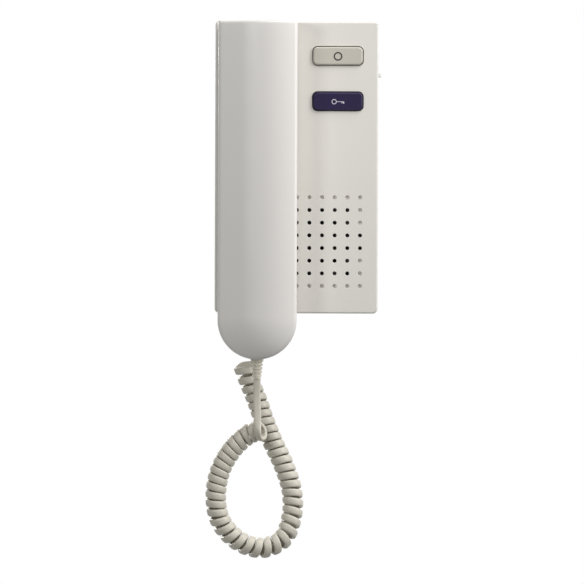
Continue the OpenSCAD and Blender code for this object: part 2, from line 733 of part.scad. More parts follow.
// Bush with two flanges and a tapered nose, where the cord leaves the wall unit
module cord_grommet() color(cord_colour) translate([handset_x, -grommet_d, -base_h / 2]) rotate_extrude() {
    wide = grommet_r + grommet_lip;
    under = -fit_gap / 2;
    upper = wall + fit_gap / 2;
    polygon([
        [0, grommet_end + base_h / 2], [cord_w / 2 + grommet_wall, grommet_end + base_h / 2],
        [grommet_r - grommet_step, under - grommet_flange], [wide, under - grommet_flange], [wide, under],
        [grommet_r, under], [grommet_r, upper], [wide, upper], [wide, upper + grommet_flange],
        [0, upper + grommet_flange]
    ]);
}

module handset_front_shell() color(handset_colour) translate([handset_x, 0, 0]) difference() {
    union() {
        shell_between(stations(0, split_d, edge_r, function(x, z) front_depth(x, z)),
            stations(shell_t, split_d, edge_r, function(x, z) front_depth(x, z) - shell_t));
        for (z = handset_screw_z)
            along_y(0, z, split_d + fit_gap, front_depth(0, z) - shell_t / 2, boss_out_r);
    }
    hole_end = handset_head_d + screw_head_h + handset_screw_l + tip_gap;
    for (z = handset_screw_z) along_y(0, z, split_d, hole_end, screw_shank_r + run_gap);
}

// Half outline of the mouthpiece's side, inset by a wall and reaching up to a given depth
function mouth_profile(inset, reach) =
    let (
        far = mouth_d + inset,
        top = function(d) mouth_top - inset - (back_d - d) * tan(mouth_slope),
        low = mouth_low + inset,
        turn = mouth_round
    )
    [
        [reach, top(back_d)], [far + turn, top(far + turn)], [far, top(far) - turn],
        [far, low + 2 * turn], [far + turn, low + turn / 2], [reach, low]
    ];

// Plan of the handset's nose, inset by a wall
function nose_outline(inset) =
    let (half = handset_w / 2 - inset, fall = nose_l - inset)
    concat([[-half, nose_z + nose_l], [-half, nose_z]],
        [for (a = [-75:15:75]) [half * sin(a), nose_z - fall * cos(a)]],
        [[half, nose_z], [half, nose_z + nose_l]]);

module mouth_block(inset, reach) intersection() {
    side_slab(-handset_w, handset_w) polygon(mouth_profile(inset, reach));
    slab(0, split_d) polygon(nose_outline(mouth_inset + inset));
}

// Inner half of the handset: a tray with the tilted ear cup and the mouthpiece standing out of it
module handset_back_shell() color(handset_colour) {
    depth = split_d - back_d;
    floor_lift = function(x, z) depth;
    cavity_lift = function(x, z) depth - shell_t;
    difference() {
        union() {
            translate([handset_x, -split_d, 0]) mirror([0, 1, 0])
                shell_between(stations(0, 0, back_r, floor_lift), stations(shell_t, 0, back_r, cavity_lift));
            ear_axis() translate([0, 0, -cup_r / 4]) cylinder(h = cup_r / 4 + cup_end, r = cup_r);
            translate([handset_x, 0, 0]) mouth_block(0, back_d + shell_t / 2);
            for (z = handset_screw_z) along_y(handset_x, z, back_d + shell_t / 2, split_d, boss_out_r);
        }
        ear_axis() translate([0, 0, -cup_r / 2])
            cylinder(h = cup_r / 2 + cup_end - shell_t, r = cup_r - shell_t);
        ear_axis() cylinder(h = 2 * cup_end, r = receiver_hole_r);
        ear_axis() for (i = [1:receiver_holes]) rotate(360 * i / receiver_holes)
            translate([receiver_hole_ring, 0, 0]) cylinder(h = 2 * cup_end, r = receiver_hole_r);
        translate([handset_x, 0, 0]) mouth_block(shell_t, back_d + 2 * shell_t);
        along_y(handset_x, mic_z, mouth_d - over, mic_seat + over, mic_hole_r);
        for (z = handset_screw_z) {
            along_y(handset_x, z, back_d - over, handset_head_d + screw_head_h, screw_head_r + fit_gap);
            along_y(handset_x, z, back_d, split_d + over, screw_shank_r + fit_gap);
        }
        along_z(handset_x, boot_d, boot_top - over, boot_top + boot_stem_l + over, boot_stem_r + run_gap);
    }
}

module handset_screws() color(metal_colour) for (z = handset_screw_z)
    translate([handset_x, -handset_head_d - screw_head_h, z]) rotate([90, 0, 0])
        slotted_screw(screw_head_r, screw_head_h, screw_shank_r, handset_screw_l);

// Tapered boot with slots on both sides of a front and a back spine
module handset_boot() color(cord_colour) difference() {
    union() {
        translate([handset_x, -boot_d, boot_end]) cylinder(h = boot_l, r1 = boot_r[1], r2 = boot_r[0]);
        along_z(handset_x, boot_d, boot_top - over, boot_top + boot_stem_l, boot_stem_r);
    }
    pitch = boot_l / (boot_rows + 1);
    for (i = [1:boot_rows], side = [0, 1]) {
        up = pitch * (i + side / 2 - 1 / 4);
        translate([handset_x, -boot_d, boot_end + up]) mirror([side, 0, 0])
            boot_slot(boot_core * (boot_r[1] + (boot_r[0] - boot_r[1]) * up / boot_l));
    }
}

// Slot round one half of the boot, which leaves its core
module boot_slot(core_r) linear_extrude(boot_slot_h, center = true) difference() {
    translate([boot_spine / 2, -2 * boot_r[0]]) square([2 * boot_r[0], 4 * boot_r[0]]);
    circle(core_r);
}

// Receiver: a flat can with a narrower back
module earpiece_capsule() color(dark_colour) ear_axis() rotate_extrude() {
    face = cup_end - shell_t;
    back = face - receiver_h;
    r = receiver_d / 2;
    neck = r - receiver_neck;
    polygon([[0, back], [neck - receiver_bevel, back], [neck, back + receiver_step],
        [r, back + receiver_step + receiver_bevel], [r, face], [0, face]]);
}

module earpiece_ring() color("#5A5A5C") ear_axis() rotate_extrude()
    translate([receiver_d / 2 + ring_gap, cup_end - shell_t - receiver_h / 2])
        square([cup_r - shell_t - receiver_d / 2 - 2 * ring_gap, receiver_h / 2]);

module microphone_capsule() color(metal_colour)
    along_y(handset_x, mic_z, mic_seat, mic_seat + mic_h, mic_d / 2);

module microphone_boot() color(dark_colour) turned(handset_x, mic_z)
    translate([mic_d / 2 + ring_gap, mic_seat]) square([mic_boot_t, mic_h]);

// Curve through four neighbouring control points
function spline(p, i, t) =
    let (n = len(p) - 1, a = p[max(i - 1, 0)], b = p[i], c = p[i + 1], d = p[min(i + 2, n)])
    0.5 * (2 * b + (c - a) * t + (2 * a - 5 * b + 4 * c - d) * t * t + (3 * b - a - 3 * c + d) * t * t * t);

function xyz(p) = [p[0], p[1], p[2]];
function unit(v) = v / norm(v);

// The curls' middle line in small steps, with the count of curls made up to each step
curl_axis = [for (p = coil_route) p - [0, 0, base_h / 2, 0]];
axis_points = concat(
    [for (i = [0:len(curl_axis) - 2], k = [0:axis_steps - 1]) spline(curl_axis, i, k / axis_steps)],
    [curl_axis[len(curl_axis) - 1]]);
axis_n = len(axis_points) - 1;
curl_count = [for (i = 0, c = 0; i <= axis_n; i = i + 1,
    c = i > axis_n ? c : c + norm(xyz(axis_points[i]) - xyz(axis_points[i - 1])) * 2
        / (axis_points[i][3] + axis_points[i - 1][3])) c];
curls = round(curl_count[axis_n]) - 0.5;

// Position on the middle line at which a given share of the curls is made
function axis_at(share) =
    let (
        c = share * curl_count[axis_n],
        i = min(axis_n - 1, max([0, for (k = [0:axis_n]) if (curl_count[k] <= c) k])),
        t = (c - curl_count[i]) / (curl_count[i + 1] - curl_count[i])
    )
    [i, t];

// Middle of the cord on the curls, left-handed, starting behind the middle line and ending in front of it
function curl_point(j) =
    let (
        share = j / (curls * rings_per_curl),
        at = axis_at(share),
        a = axis_points[at[0]],
        b = axis_points[at[0] + 1],
        before = axis_points[max(0, at[0] - 1)],
        after = axis_points[min(axis_n, at[0] + 2)],
        along = unit(xyz(b - before) * (1 - at[1]) + xyz(after - a) * at[1]),
        back = unit([0, 1, 0] - along[1] * along),
        side = cross(along, back),
        turn = -360 * j / rings_per_curl,
        radial = cos(turn) * back + sin(turn) * side
    )
    [xyz(a) * (1 - at[1]) + xyz(b) * at[1] + coil_r * radial, radial];

curl_rings = [for (j = [0:curls * rings_per_curl]) curl_point(j)];
bush_end = [handset_x, -grommet_d, grommet_end];
boot_tip = [handset_x, -boot_d, boot_end];
end_gap = [0, 0, -cord_join];
cord_rings = concat(
    [for (p = concat([end_gap], lead_route)) [bush_end + p, [0, 1, 0]]],
    curl_rings,
    [for (p = concat(tail_route, [end_gap])) [boot_tip + p, [0, -1, 0]]]);
ring_n = len(cord_rings);

// Flat hexagon across the cord at one ring
function cord_ring(i) =
    let (
        here = cord_rings[i][0],
        before = cord_rings[max(0, i - 1)][0],
        after = cord_rings[min(ring_n - 1, i + 1)][0],
        along = i == 0 || i == ring_n - 1 ? [0, 0, i == 0 ? -1 : 1] : unit(after - before),
        out = unit(cord_rings[i][1] - (cord_rings[i][1] * along) * along),
        wide = cross(along, out)
    )
    [for (c = cord_corners) here + wide * (cord_w / 2) * c[0] + out * (cord_t / 2) * c[1]];

cord_skin = [for (i = [0:ring_n - 1]) cord_ring(i)];

// Least distance between points of the cord that lie about one curl or more apart
near_gap = min([for (i = [0:ring_n - 1],
    j = [i + rings_per_curl - 2:min(ring_n - 1, i + rings_per_curl + 2)],
    p = cord_skin[i], q = cord_skin[j]) norm(p - q)]);
far_gap = min([for (i = [0:ring_n - 1], j = [i + 2 * rings_per_curl:2:ring_n - 1])
    norm(cord_rings[i][0] - cord_rings[j][0])]) - cord_w;

module curly_cord() color(cord_colour) {
    echo(curls = curls, near_gap = near_gap, far_gap = far_gap);
    last = (ring_n - 1) * cord_sides;
    polyhedron([for (r = cord_skin, p = r) p], concat(
        [for (i = [0:ring_n - 2], k = [0:cord_sides - 1], f = quad(i * cord_sides + k,
            i * cord_sides + (k + 1) % cord_sides, (i + 1) * cord_sides + (k + 1) % cord_sides,
            (i + 1) * cord_sides + k)) f],
        [[for (k = [cord_sides - 1:-1:0]) k], [for (k = [0:cord_sides - 1]) last + k]]
    ));
}

wall_plate();
front_cover();
light_button();
door_button();
volume_slider();
volume_switch();
circuit_board();
board_screws();
key_switches();
terminal_block();
terminal_screws();
speaker_gasket();
speaker_basket();
speaker_cone();
speaker_magnet();
hook_lever();
hook_pin();
hook_switch();
cover_screw();
cord_grommet();
curly_cord();
handset_front_shell();
handset_back_shell();
handset_screws();
handset_boot();
earpiece_capsule();
earpiece_ring();
microphone_capsule();
microphone_boot();
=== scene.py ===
# %% [markdown]
# # A wall door phone, from arrays to a finished part
# The object is a flat wall unit with two keys and a field of sound holes, a long handset that hangs in it,
# and a curly cord between them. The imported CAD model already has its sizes, its places and its motion. This
# lesson gives it its looks: smooth surfaces worked out with numpy, finishes made of shader nodes, and soft
# light. Lengths are written in millimetres, in the CAD's own frame: X to the right, Y into the wall, Z up.
# Depths count from the wall towards the viewer, so a point at depth d has Y = -d.

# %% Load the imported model
import json
import math

import bmesh
import bpy
import numpy as np
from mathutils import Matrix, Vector
from mathutils.geometry import delaunay_2d_cdt


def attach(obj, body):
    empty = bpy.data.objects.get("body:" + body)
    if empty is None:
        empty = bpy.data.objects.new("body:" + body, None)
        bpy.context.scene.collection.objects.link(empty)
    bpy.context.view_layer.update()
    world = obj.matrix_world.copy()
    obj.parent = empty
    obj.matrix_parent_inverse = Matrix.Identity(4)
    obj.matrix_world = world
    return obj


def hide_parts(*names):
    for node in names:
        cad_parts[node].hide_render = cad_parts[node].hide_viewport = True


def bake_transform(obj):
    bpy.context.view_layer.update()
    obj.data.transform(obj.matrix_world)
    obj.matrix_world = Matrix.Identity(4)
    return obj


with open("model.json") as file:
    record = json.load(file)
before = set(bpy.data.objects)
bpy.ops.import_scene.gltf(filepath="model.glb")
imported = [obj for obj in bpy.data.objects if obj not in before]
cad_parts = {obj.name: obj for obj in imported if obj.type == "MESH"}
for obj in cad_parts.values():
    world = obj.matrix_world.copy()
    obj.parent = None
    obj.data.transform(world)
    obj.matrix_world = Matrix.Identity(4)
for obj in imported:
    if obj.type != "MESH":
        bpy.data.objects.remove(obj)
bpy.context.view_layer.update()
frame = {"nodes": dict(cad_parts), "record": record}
MM = 0.001

# %% [markdown]
# ## The camera
# The picture was taken straight from the front and from far away, because hardly any side wall shows. One
# picture pixel covers 0.6 mm of the wall unit's front face, which fixes the lens once a distance is chosen.
# The camera looks along +Y, and a small roll follows the slight lean of the object in the picture.

# %% Camera from the front
PICTURE = 584
ORIGIN_COLUMN, ORIGIN_ROW = 296.1, 167.5
PIXEL = 0.6 * MM
SENSOR = 36
DISTANCE = 5
FRONT = 25 * MM
ROLL = -0.2
lens = bpy.data.cameras.new("camera")
lens.sensor_width = SENSOR
lens.lens = SENSOR * DISTANCE / (PICTURE * PIXEL)
camera = bpy.data.objects.new("camera", lens)
aim_x, aim_z = (PICTURE / 2 - ORIGIN_COLUMN) * PIXEL, (ORIGIN_ROW - PICTURE / 2) * PIXEL
camera.location = (aim_x, -FRONT - DISTANCE, aim_z)
camera.rotation_euler = (math.radians(90), math.radians(ROLL), 0)
bpy.context.scene.collection.objects.link(camera)
bpy.context.scene.camera = camera
print(f"lens {lens.lens:.0f} mm at {DISTANCE} m")

# %% [markdown]
# ## The curly cord
# A curly cord is a flat jacketed lead that was wound on a rod and set by heat. It could be drawn by hand as
# a curve, but its curls follow a rule: a middle line hangs in a loop, and the lead winds round that line. So
# the middle line is a smooth curve through a few points, each with its own distance between curls, and the
# lead is a helix round it. The points are those of the part's source.

# %% Middle line of the curls
def spline(points, steps):
    """Catmull-Rom curve: between two points runs the cubic whose end slopes are half the step between the
    neighbours on either side; a row of points goes in, a denser row comes out."""
    p = np.concatenate([points[:1], points, points[-1:]])
    a, b, c, d = (p[k:len(points) - 1 + k, None] for k in range(4))
    t = np.linspace(0, 1, steps, endpoint=False)[None, :, None]
    curve = 0.5 * (2 * b + (c - a) * t + (2 * a - 5 * b + 4 * c - d) * t**2 + (3 * b - a - 3 * c + d) * t**3)
    return np.concatenate([curve.reshape(-1, points.shape[1]), points[-1:]])


def unit(v):
    """Each vector divided by its length."""
    return v / np.linalg.norm(v, axis=-1, keepdims=True)


BOTTOM, AXIS_STEPS = -87.5, 8
coil_route = np.array([
    [-31.6, -10, -31.3, 8], [-29.6, -10.3, -37, 6.2], [-27, -10.7, -43.5, 5.5], [-23.2, -11.2, -52.6, 5.1],
    [-19, -11.7, -64.5, 5], [-13.4, -12.2, -78, 5], [-7.2, -12.7, -91, 5], [-2.3, -13.2, -106, 5.2],
    [-2, -14, -121, 5.6], [-7.2, -15.5, -135, 5.8], [-20, -17.5, -141, 5.8], [-34.4, -19.5, -136.6, 5.7],
    [-45, -21, -124.6, 5.4], [-47.8, -22, -109.4, 4.9], [-45, -22.6, -94, 4.6],
    [-38, -23.2, -81.7, 4.5], [-30, -24, -73.9, 4.7], [-24.8, -25, -71.2, 5.6], [-19.8, -28.4, -70.3, 6.5]])
lead_route = np.array([
    [0, 0, -0.1], [0, 0, -2], [0, 0, -9], [0, 0.3, -16], [-0.6, 1.2, -20.7], [-3.2, 2.1, -23.3]])
tail_route = np.array([[0.5, -1, -25.5], [0.3, -0.5, -18], [0, 0, -10.5], [0, 0, -4.3], [0, 0, -0.1]])
bush_end = np.array([-23.3, -7.2, -95])
boot_end = np.array([-23.3, -31, -127.009])
axis = spline(coil_route + [0, 0, BOTTOM, 0], AXIS_STEPS)
step = np.linalg.norm(np.diff(axis[:, :3], axis=0), axis=1)
count = np.concatenate([[0], np.cumsum(2 * step / (axis[1:, 3] + axis[:-1, 3]))])
curls = round(count[-1]) - 0.5
print(f"middle line {step.sum():.0f} mm, {curls} curls")

# %% The lead wound round it
COIL_R, PER_CURL, DENSE = 5, 8, 4


def curl_points(j):
    """Helix: at the share of the curls made so far, a point one coil radius off the middle line, turning
    left-handed by one eighth of a turn per step; gives the points and the directions out of the coil."""
    n = len(axis) - 1
    c = j / (curls * PER_CURL) * count[-1]
    i = np.clip(np.searchsorted(count, c, side="right") - 1, 0, n - 1)
    t = ((c - count[i]) / (count[i + 1] - count[i]))[:, None]
    a, b = axis[i, :3], axis[i + 1, :3]
    before, after = axis[np.maximum(i - 1, 0), :3], axis[np.minimum(i + 2, n), :3]
    along = unit((b - before) * (1 - t) + (after - a) * t)
    back = unit(np.array([0, 1, 0]) - along[:, 1:2] * along)
    turn = -2 * np.pi * j[:, None] / PER_CURL
    radial = np.cos(turn) * back + np.sin(turn) * np.cross(along, back)
    return a * (1 - t) + b * t + COIL_R * radial, radial


j = np.arange(int(curls * PER_CURL) + 1)
curl_middle, curl_out = curl_points(j)
lead = np.concatenate([bush_end + lead_route, curl_middle, boot_end + tail_route])
lead_out = np.concatenate([np.tile([0, 1, 0], (len(lead_route), 1)), curl_out,
                           np.tile([0, -1, 0], (len(tail_route), 1))])
path = spline(lead, DENSE)
path_out = unit(spline(lead_out.astype(float), DENSE))
cord_length = np.linalg.norm(np.diff(path, axis=0), axis=1).sum()
print(f"cord {cord_length / 1000:.2f} m in {len(path)} points")

# %% [markdown]
# ## From arrays to meshes
# A sheet of points becomes a mesh when quads join its rows and columns. A round piece is a stack of closed
# loops, and a flat face with holes is a triangle net between loops. With these three helpers every new piece
# below is a list of sheets. Doubled points along shared borders are merged, and normals are turned outwards
# at the end.

# %% Sheets, stacks of loops and pierced faces
KEEP_INSIDE, SAME_POINT, MERGE = 1, 1e-6, 2e-6


def skin(points, wrap=False):
    """A grid of points with quads between its rows and columns; wrap joins the last column to the first."""
    rows, cols = points.shape[:2]
    r, c = np.meshgrid(np.arange(rows - 1), np.arange(cols if wrap else cols - 1), indexing="ij")
    a, b = r * cols + c, r * cols + (c + 1) % cols
    return points.reshape(-1, 3), np.stack([a, b, b + cols, a + cols], -1).reshape(-1, 4).tolist()


def stack(loops, first=False, last=False):
    """Closed loops of equal length joined one to the next; the first and the last may get a closing face."""
    points, faces = skin(np.stack(loops), wrap=True)
    n = len(loops[0])
    ends = [list(range(n))] * first + [list(range(len(points) - n, len(points)))] * last
    return points, faces + ends


def pierced(outer, holes):
    """Flat triangle net between an outer loop and convex holes; a triangle whose three corners lie on one
    hole's loop is inside that hole and is dropped."""
    loops = [outer, *holes]
    sizes = [len(loop) for loop in loops]
    points, owner = np.concatenate(loops), np.repeat(np.arange(len(loops)), sizes)
    first = np.repeat(np.cumsum([0, *sizes[:-1]]), sizes)
    index = np.arange(len(points))
    follow = first + (index - first + 1) % np.repeat(sizes, sizes)
    edges = np.stack([index, follow], 1).tolist()
    net = delaunay_2d_cdt(points.tolist(), edges, [], KEEP_INSIDE, SAME_POINT)
    triangles = np.array([origin[0] for origin in net[3]])[np.array(net[2])]
    inside = (owner[triangles] == owner[triangles][:, :1]).all(1) & (owner[triangles][:, 0] > 0)
    return points, triangles[~inside].tolist()


def new_piece(name, *sheets, sharp=35):
    """One object from sheets of points and faces in millimetres: doubles merged, normals outwards, and
    smooth shading that keeps the edges sharper than an angle."""
    starts = np.cumsum([0] + [len(points) for points, _ in sheets])
    faces = [[int(i + start) for i in face] for start, (_, some) in zip(starts, sheets) for face in some]
    mesh = bpy.data.meshes.new(name)
    mesh.from_pydata((np.concatenate([points for points, _ in sheets]) * MM).tolist(), [], faces)
    bm = bmesh.new()
    bm.from_mesh(mesh)
    bmesh.ops.remove_doubles(bm, verts=bm.verts, dist=MERGE)
    bmesh.ops.recalc_face_normals(bm, faces=bm.faces)
    bm.to_mesh(mesh)
    bm.free()
    mesh.shade_smooth()
    mesh.set_sharp_from_angle(angle=math.radians(sharp))
    piece = bpy.data.objects.new(name, mesh)
    bpy.context.scene.collection.objects.link(piece)
    print(f"{name}: {len(mesh.vertices)} points, {len(mesh.polygons)} faces")
    return piece

# %% [markdown]
# ## Sweep the cord
# The jacket's cross-section is a flat oval, 4.4 mm wide and 2.5 mm thick, that lies flat on the coil. A
# bevelled curve would twist it, so the section is carried along the path on two directions: out of the coil,
# and across the lead. On the inner side of the loop the curls crowd together, and a section of one width
# would cut through its neighbour, so there the soft jacket narrows to the room that it has. The cord is cut
# in two at the lowest curl.

# %% Room between neighbouring curls
CORD_W, CORD_T, CURL_GAP = 4.4, 2.5, 0.3


def curl_room(middle):
    """Least distance from each point of the path to the points about one curl before it and after it, less a
    gap, and at most the jacket's own width."""
    turn = PER_CURL * DENSE
    room = np.full(len(middle), CORD_W)
    for shift in range(turn * 3 // 4, turn * 5 // 4 + 1):
        apart = np.linalg.norm(middle[shift:] - middle[:-shift], axis=1) - CURL_GAP
        room[shift:] = np.minimum(room[shift:], apart)
        room[:-shift] = np.minimum(room[:-shift], apart)
    return room


cord_width = curl_room(path)
print(f"jacket {cord_width.min():.2f} to {cord_width.max():.2f} mm wide")

# %% Sweep the flat oval
SECTION_STEPS, SQUARENESS = 20, 3.2


def flat_cord(name, middle, out, width):
    """Superellipse section carried along a path: half the width there times the power cosine across the
    lead, half the thickness times the power sine out of the coil."""
    along = unit(np.gradient(middle, axis=0))
    up = unit(out - (out * along).sum(1, keepdims=True) * along)
    across = np.cross(along, up)
    a = np.linspace(0, 2 * np.pi, SECTION_STEPS, endpoint=False)
    power = 2 / SQUARENESS
    wide = width[:, None] / 2 * np.sign(np.cos(a)) * np.abs(np.cos(a))**power
    thick = CORD_T / 2 * np.sign(np.sin(a)) * np.abs(np.sin(a))**power
    rings = middle[:, None] + across[:, None] * wide[..., None] + up[:, None] * thick[:, None]
    return new_piece(name, stack(rings, first=True, last=True), sharp=60)


lowest = PER_CURL * round(np.argmin(curl_middle[:, 2] - COIL_R * curl_out[:, 2]) / PER_CURL)
cut = (len(lead_route) + lowest) * DENSE
halves = {"cord_wall_half": slice(None, cut + 1), "cord_handset_half": slice(cut, None)}
cords = {name: flat_cord(name, path[part], path_out[part], cord_width[part])
         for name, part in halves.items()}
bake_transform(cords["cord_wall_half"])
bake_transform(cords["cord_handset_half"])
for name, part in halves.items():
    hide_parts("curly_cord")

# %% [markdown]
# ## The handset's front shell
# The front is one long moulding: flat along its left third, then arched to the right, and round at the nose.
# It could be carved from a box, but a function gives every point: the depth over the plan, with the distance
# to the outline turned into a rounded edge. The grid's columns crowd towards the edges, where the rounding
# needs them.

# %% Depth of the front over its plan
HAND_X, HAND_TOP, HAND_TIP = -23.3, 87.5, -115.2
HALF, NOSE_L, NOSE_Z = 23.7, 23.6, -91.6
SEAM_D, EDGE_D, CROWN, CANT, FLAT_END = 34.5, 43.4, 6.6, 4.0, -0.4
FALL_L, FALL_D, FALL_SHARE, EDGE_R = 25, 9, 0.98, 1.6
SLOPE = CANT + CROWN * (1 - FLAT_END)**2 / 2
TINY = 1e-9


def front_depth(x, z):
    """A slope from the low left edge, less a parabola that starts where the flat part ends, less a
    quarter-ellipse fall towards the nose."""
    u = x / HALF
    s = np.clip((HAND_TIP + FALL_L - z) / FALL_L, 0, 1)
    arch = EDGE_D - CANT + SLOPE * (u + 1) - CROWN * np.maximum(u - FLAT_END, 0)**2
    return arch - FALL_D * (1 - np.sqrt(1 - FALL_SHARE * s**2))


def edge_drop(x, z):
    """Drop of the rounded edge: a ball's cap over the distances to the long outline and to the top, where
    the first is (1 - rho) over rho's gradient, rho being 1 on the straight sides and the half ellipse."""
    w = np.maximum(NOSE_Z - z, 0)
    rho = np.sqrt((x / HALF)**2 + (w / NOSE_L)**2) + TINY
    slope = np.sqrt((x / HALF**2)**2 + (w / NOSE_L**2)**2) / rho + TINY
    side = np.clip(EDGE_R - (1 - rho) / slope, 0, EDGE_R)
    end = np.clip(EDGE_R - (HAND_TOP - z), 0, EDGE_R)
    return EDGE_R - np.sqrt(np.maximum(EDGE_R**2 - side**2 - end**2, 0))


def place(x, d, z):
    """Points from X, depth and Z."""
    return np.stack(np.broadcast_arrays(x, -np.asarray(d, float), z), -1)


print(f"front {front_depth(0, 0):.1f} mm from the wall at its middle")

# %% Rows, columns and outline of the plan
GROOVE, DENSE_Z = 0.3, -84
LONG_ROWS, DENSE_ROWS, NOSE_ROWS, COLUMNS = 24, 8, 33, 49
near_top = HAND_TOP - np.array([0, 0.05, 0.2, 0.45, 0.8, 1.25, 1.8])
straight = np.concatenate([np.linspace(near_top[-1], DENSE_Z, LONG_ROWS)[1:],
                           np.linspace(DENSE_Z, NOSE_Z, DENSE_ROWS)[1:]])
nose = np.radians(np.linspace(0, 90, NOSE_ROWS)[1:])
across = np.sin(np.radians(np.linspace(-90, 90, COLUMNS)))


def plan_rows(inset=0):
    """Half width and Z of each row of the plan, drawn in by an inset: straight sides and a half ellipse."""
    wide, tall = HALF - inset, NOSE_L - inset
    half = np.concatenate([np.full(len(near_top) + len(straight), wide), wide * np.cos(nose)])
    z = np.concatenate([np.minimum(near_top, HAND_TOP - inset), straight, NOSE_Z - tall * np.sin(nose)])
    return half, z


def outline(inset=0):
    """Closed loop round the plan: down the left side, round the nose, up the right side and back along the
    top."""
    half, z = plan_rows(inset)
    x = np.concatenate([-half, half[-2::-1], half[0] * across[-2:0:-1]])
    return x, np.concatenate([z, z[-2::-1], np.full(len(across) - 2, z[0])])


def hand_loop(inset, d):
    """The handset's outline, drawn in by an inset, at a depth."""
    x, z = outline(inset)
    return place(HAND_X + x, d, z)


half, z = plan_rows()
x, z = half[:, None] * across, np.broadcast_to(z[:, None], (len(z), len(across)))
front = place(HAND_X + x, front_depth(x, z) - edge_drop(x, z), z)
wall = [hand_loop(0, front_depth(*outline()) - EDGE_R), hand_loop(0, SEAM_D + GROOVE),
        hand_loop(GROOVE, SEAM_D)]
handset_front = new_piece("handset_front", skin(front), stack(wall, last=True))
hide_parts("handset_front_shell")

# %% [markdown]
# ## The handset's back shell
# The back is a shallow tray with two things on it: the ear cup, which stands on a tilted axis and drops into
# the wall unit's well, and the mouthpiece, which hooks under the wall unit. Each is a stack of loops. The
# tray's floor and the cup's face are pierced, for two screws and for the receiver's sound holes.

# %% Tray with its screw holes
BACK_D, BACK_R, SHELL_T = 26.2, 3, 2
SCREW_R, SCREW_ZS, HEAD_DEEP, BEND_STEPS = 3.1, (29.0, -67.6), 4, 7
bend = np.radians(np.linspace(0, 90, BEND_STEPS))


def round_over(r):
    """Steps of a rounded edge: the inset is the radius times one less the cosine, and the drop is the radius
    times one less the sine."""
    return [(r * (1 - math.cos(a)), r * (1 - math.sin(a))) for a in bend]


def circle(r, cx=0, cz=0, steps=32):
    """Loop of a circle: centre plus radius times cosine and sine."""
    a = np.linspace(0, 2 * np.pi, steps, endpoint=False)
    return np.stack([cx + r * np.cos(a), cz + r * np.sin(a)], 1)


def at_depth(loop, d):
    """A flat X-Z loop set at a depth."""
    return place(loop[:, 0], d, loop[:, 1])


def straight_wall(loop, depths, **ends):
    """A flat X-Z loop carried from depth to depth."""
    return stack([at_depth(loop, d) for d in depths], **ends)


tray_loops = [hand_loop(GROOVE, SEAM_D), hand_loop(0, SEAM_D - GROOVE)]
tray_loops += [hand_loop(inset, BACK_D + drop) for inset, drop in round_over(BACK_R)]
screw_loops = [circle(SCREW_R, HAND_X, z) for z in SCREW_ZS]
floor_loop = np.stack(outline(BACK_R), 1) + [HAND_X, 0]
floor_points, floor_faces = pierced(floor_loop, screw_loops)
tray = [stack(tray_loops, first=True), (at_depth(floor_points, BACK_D), floor_faces)]
tray += [straight_wall(loop, (BACK_D, BACK_D + HEAD_DEEP), last=True) for loop in screw_loops]
print(len(tray), "sheets in the tray")

# %% Ear cup on its tilted axis
CUP_Z, CUP_R, CUP_ROOT, CUP_END, CUP_ROUND = 60, 19, -4.75, 7.2, 1.8
TILT, EAR_STEPS = math.radians(12), 72
SOUND_R, SOUND_RING, SMALL_STEPS = 1.2, 5, 24
ear_origin = np.array([HAND_X, -25, CUP_Z])
ear_in = np.array([0, math.cos(TILT), -math.sin(TILT)])
ear_down = np.array([0, -math.sin(TILT), -math.cos(TILT)])


def on_ear_axis(loop, s):
    """A flat loop of sideways and downward distances, set at a distance s down the ear cup's axis."""
    s = np.broadcast_to(np.asarray(s, float), len(loop))[:, None]
    return ear_origin + loop[:, :1] * [1, 0, 0] + loop[:, 1:] * ear_down + s * ear_in


def ear_circle(r, s):
    """Circle round the ear cup's axis."""
    return on_ear_axis(circle(r, steps=EAR_STEPS), s)


cup_loops = [ear_circle(CUP_R, CUP_ROOT)]
cup_loops += [ear_circle(CUP_R - inset, CUP_END - drop) for inset, drop in round_over(CUP_ROUND)]
sound = [circle(SOUND_R, steps=SMALL_STEPS)]
sound += [circle(SOUND_R, SOUND_RING * math.cos(a), SOUND_RING * math.sin(a), SMALL_STEPS)
          for a in np.radians(np.arange(0, 360, 60))]
face_points, face_triangles = pierced(circle(CUP_R - CUP_ROUND, steps=EAR_STEPS), sound)
cup = [stack(cup_loops, first=True), (on_ear_axis(face_points, CUP_END), face_triangles)]
cup += [stack([on_ear_axis(loop, CUP_END), on_ear_axis(loop, CUP_END - SHELL_T)]) for loop in sound]
print(len(sound), "sound holes in the cup")

# %% Mouthpiece with its microphone hole
MOUTH_D, MOUTH_TOP, MOUTH_LOW, MOUTH_ROUND = 13.5, -88.7, -112.2, 2
MOUTH_IN, MOUTH_LAP, LOW_DRAFT, LIP_TILT = 2, 1, 0.08, math.radians(13)
MIC_Z, MIC_R = -100.685, 1
LIP_STEPS, ARC_STEPS = 21, 41


def mouth_loop(inset, d):
    """Letter-D loop at a depth: a top edge that slopes a little more than the ear cup's axis, down to a half
    ellipse that starts where the edge meets it, cut off level at the lowest place, drawn in by an inset."""
    lip = MOUTH_TOP - inset - (BACK_D - d) * math.tan(LIP_TILT)
    half, fall = HALF - MOUTH_IN - inset, NOSE_L - MOUTH_IN - inset
    start = math.acos(max(0, (NOSE_Z - lip) / fall))
    a = np.linspace(-start, start, ARC_STEPS)
    x = np.concatenate([half * math.sin(start) * np.linspace(1, -1, LIP_STEPS), half * np.sin(a)])
    z = np.concatenate([np.full(LIP_STEPS, lip), NOSE_Z - fall * np.cos(a)])
    return np.stack([x + HAND_X, np.maximum(z, MOUTH_LOW + inset + LOW_DRAFT * (BACK_D - d))], 1)


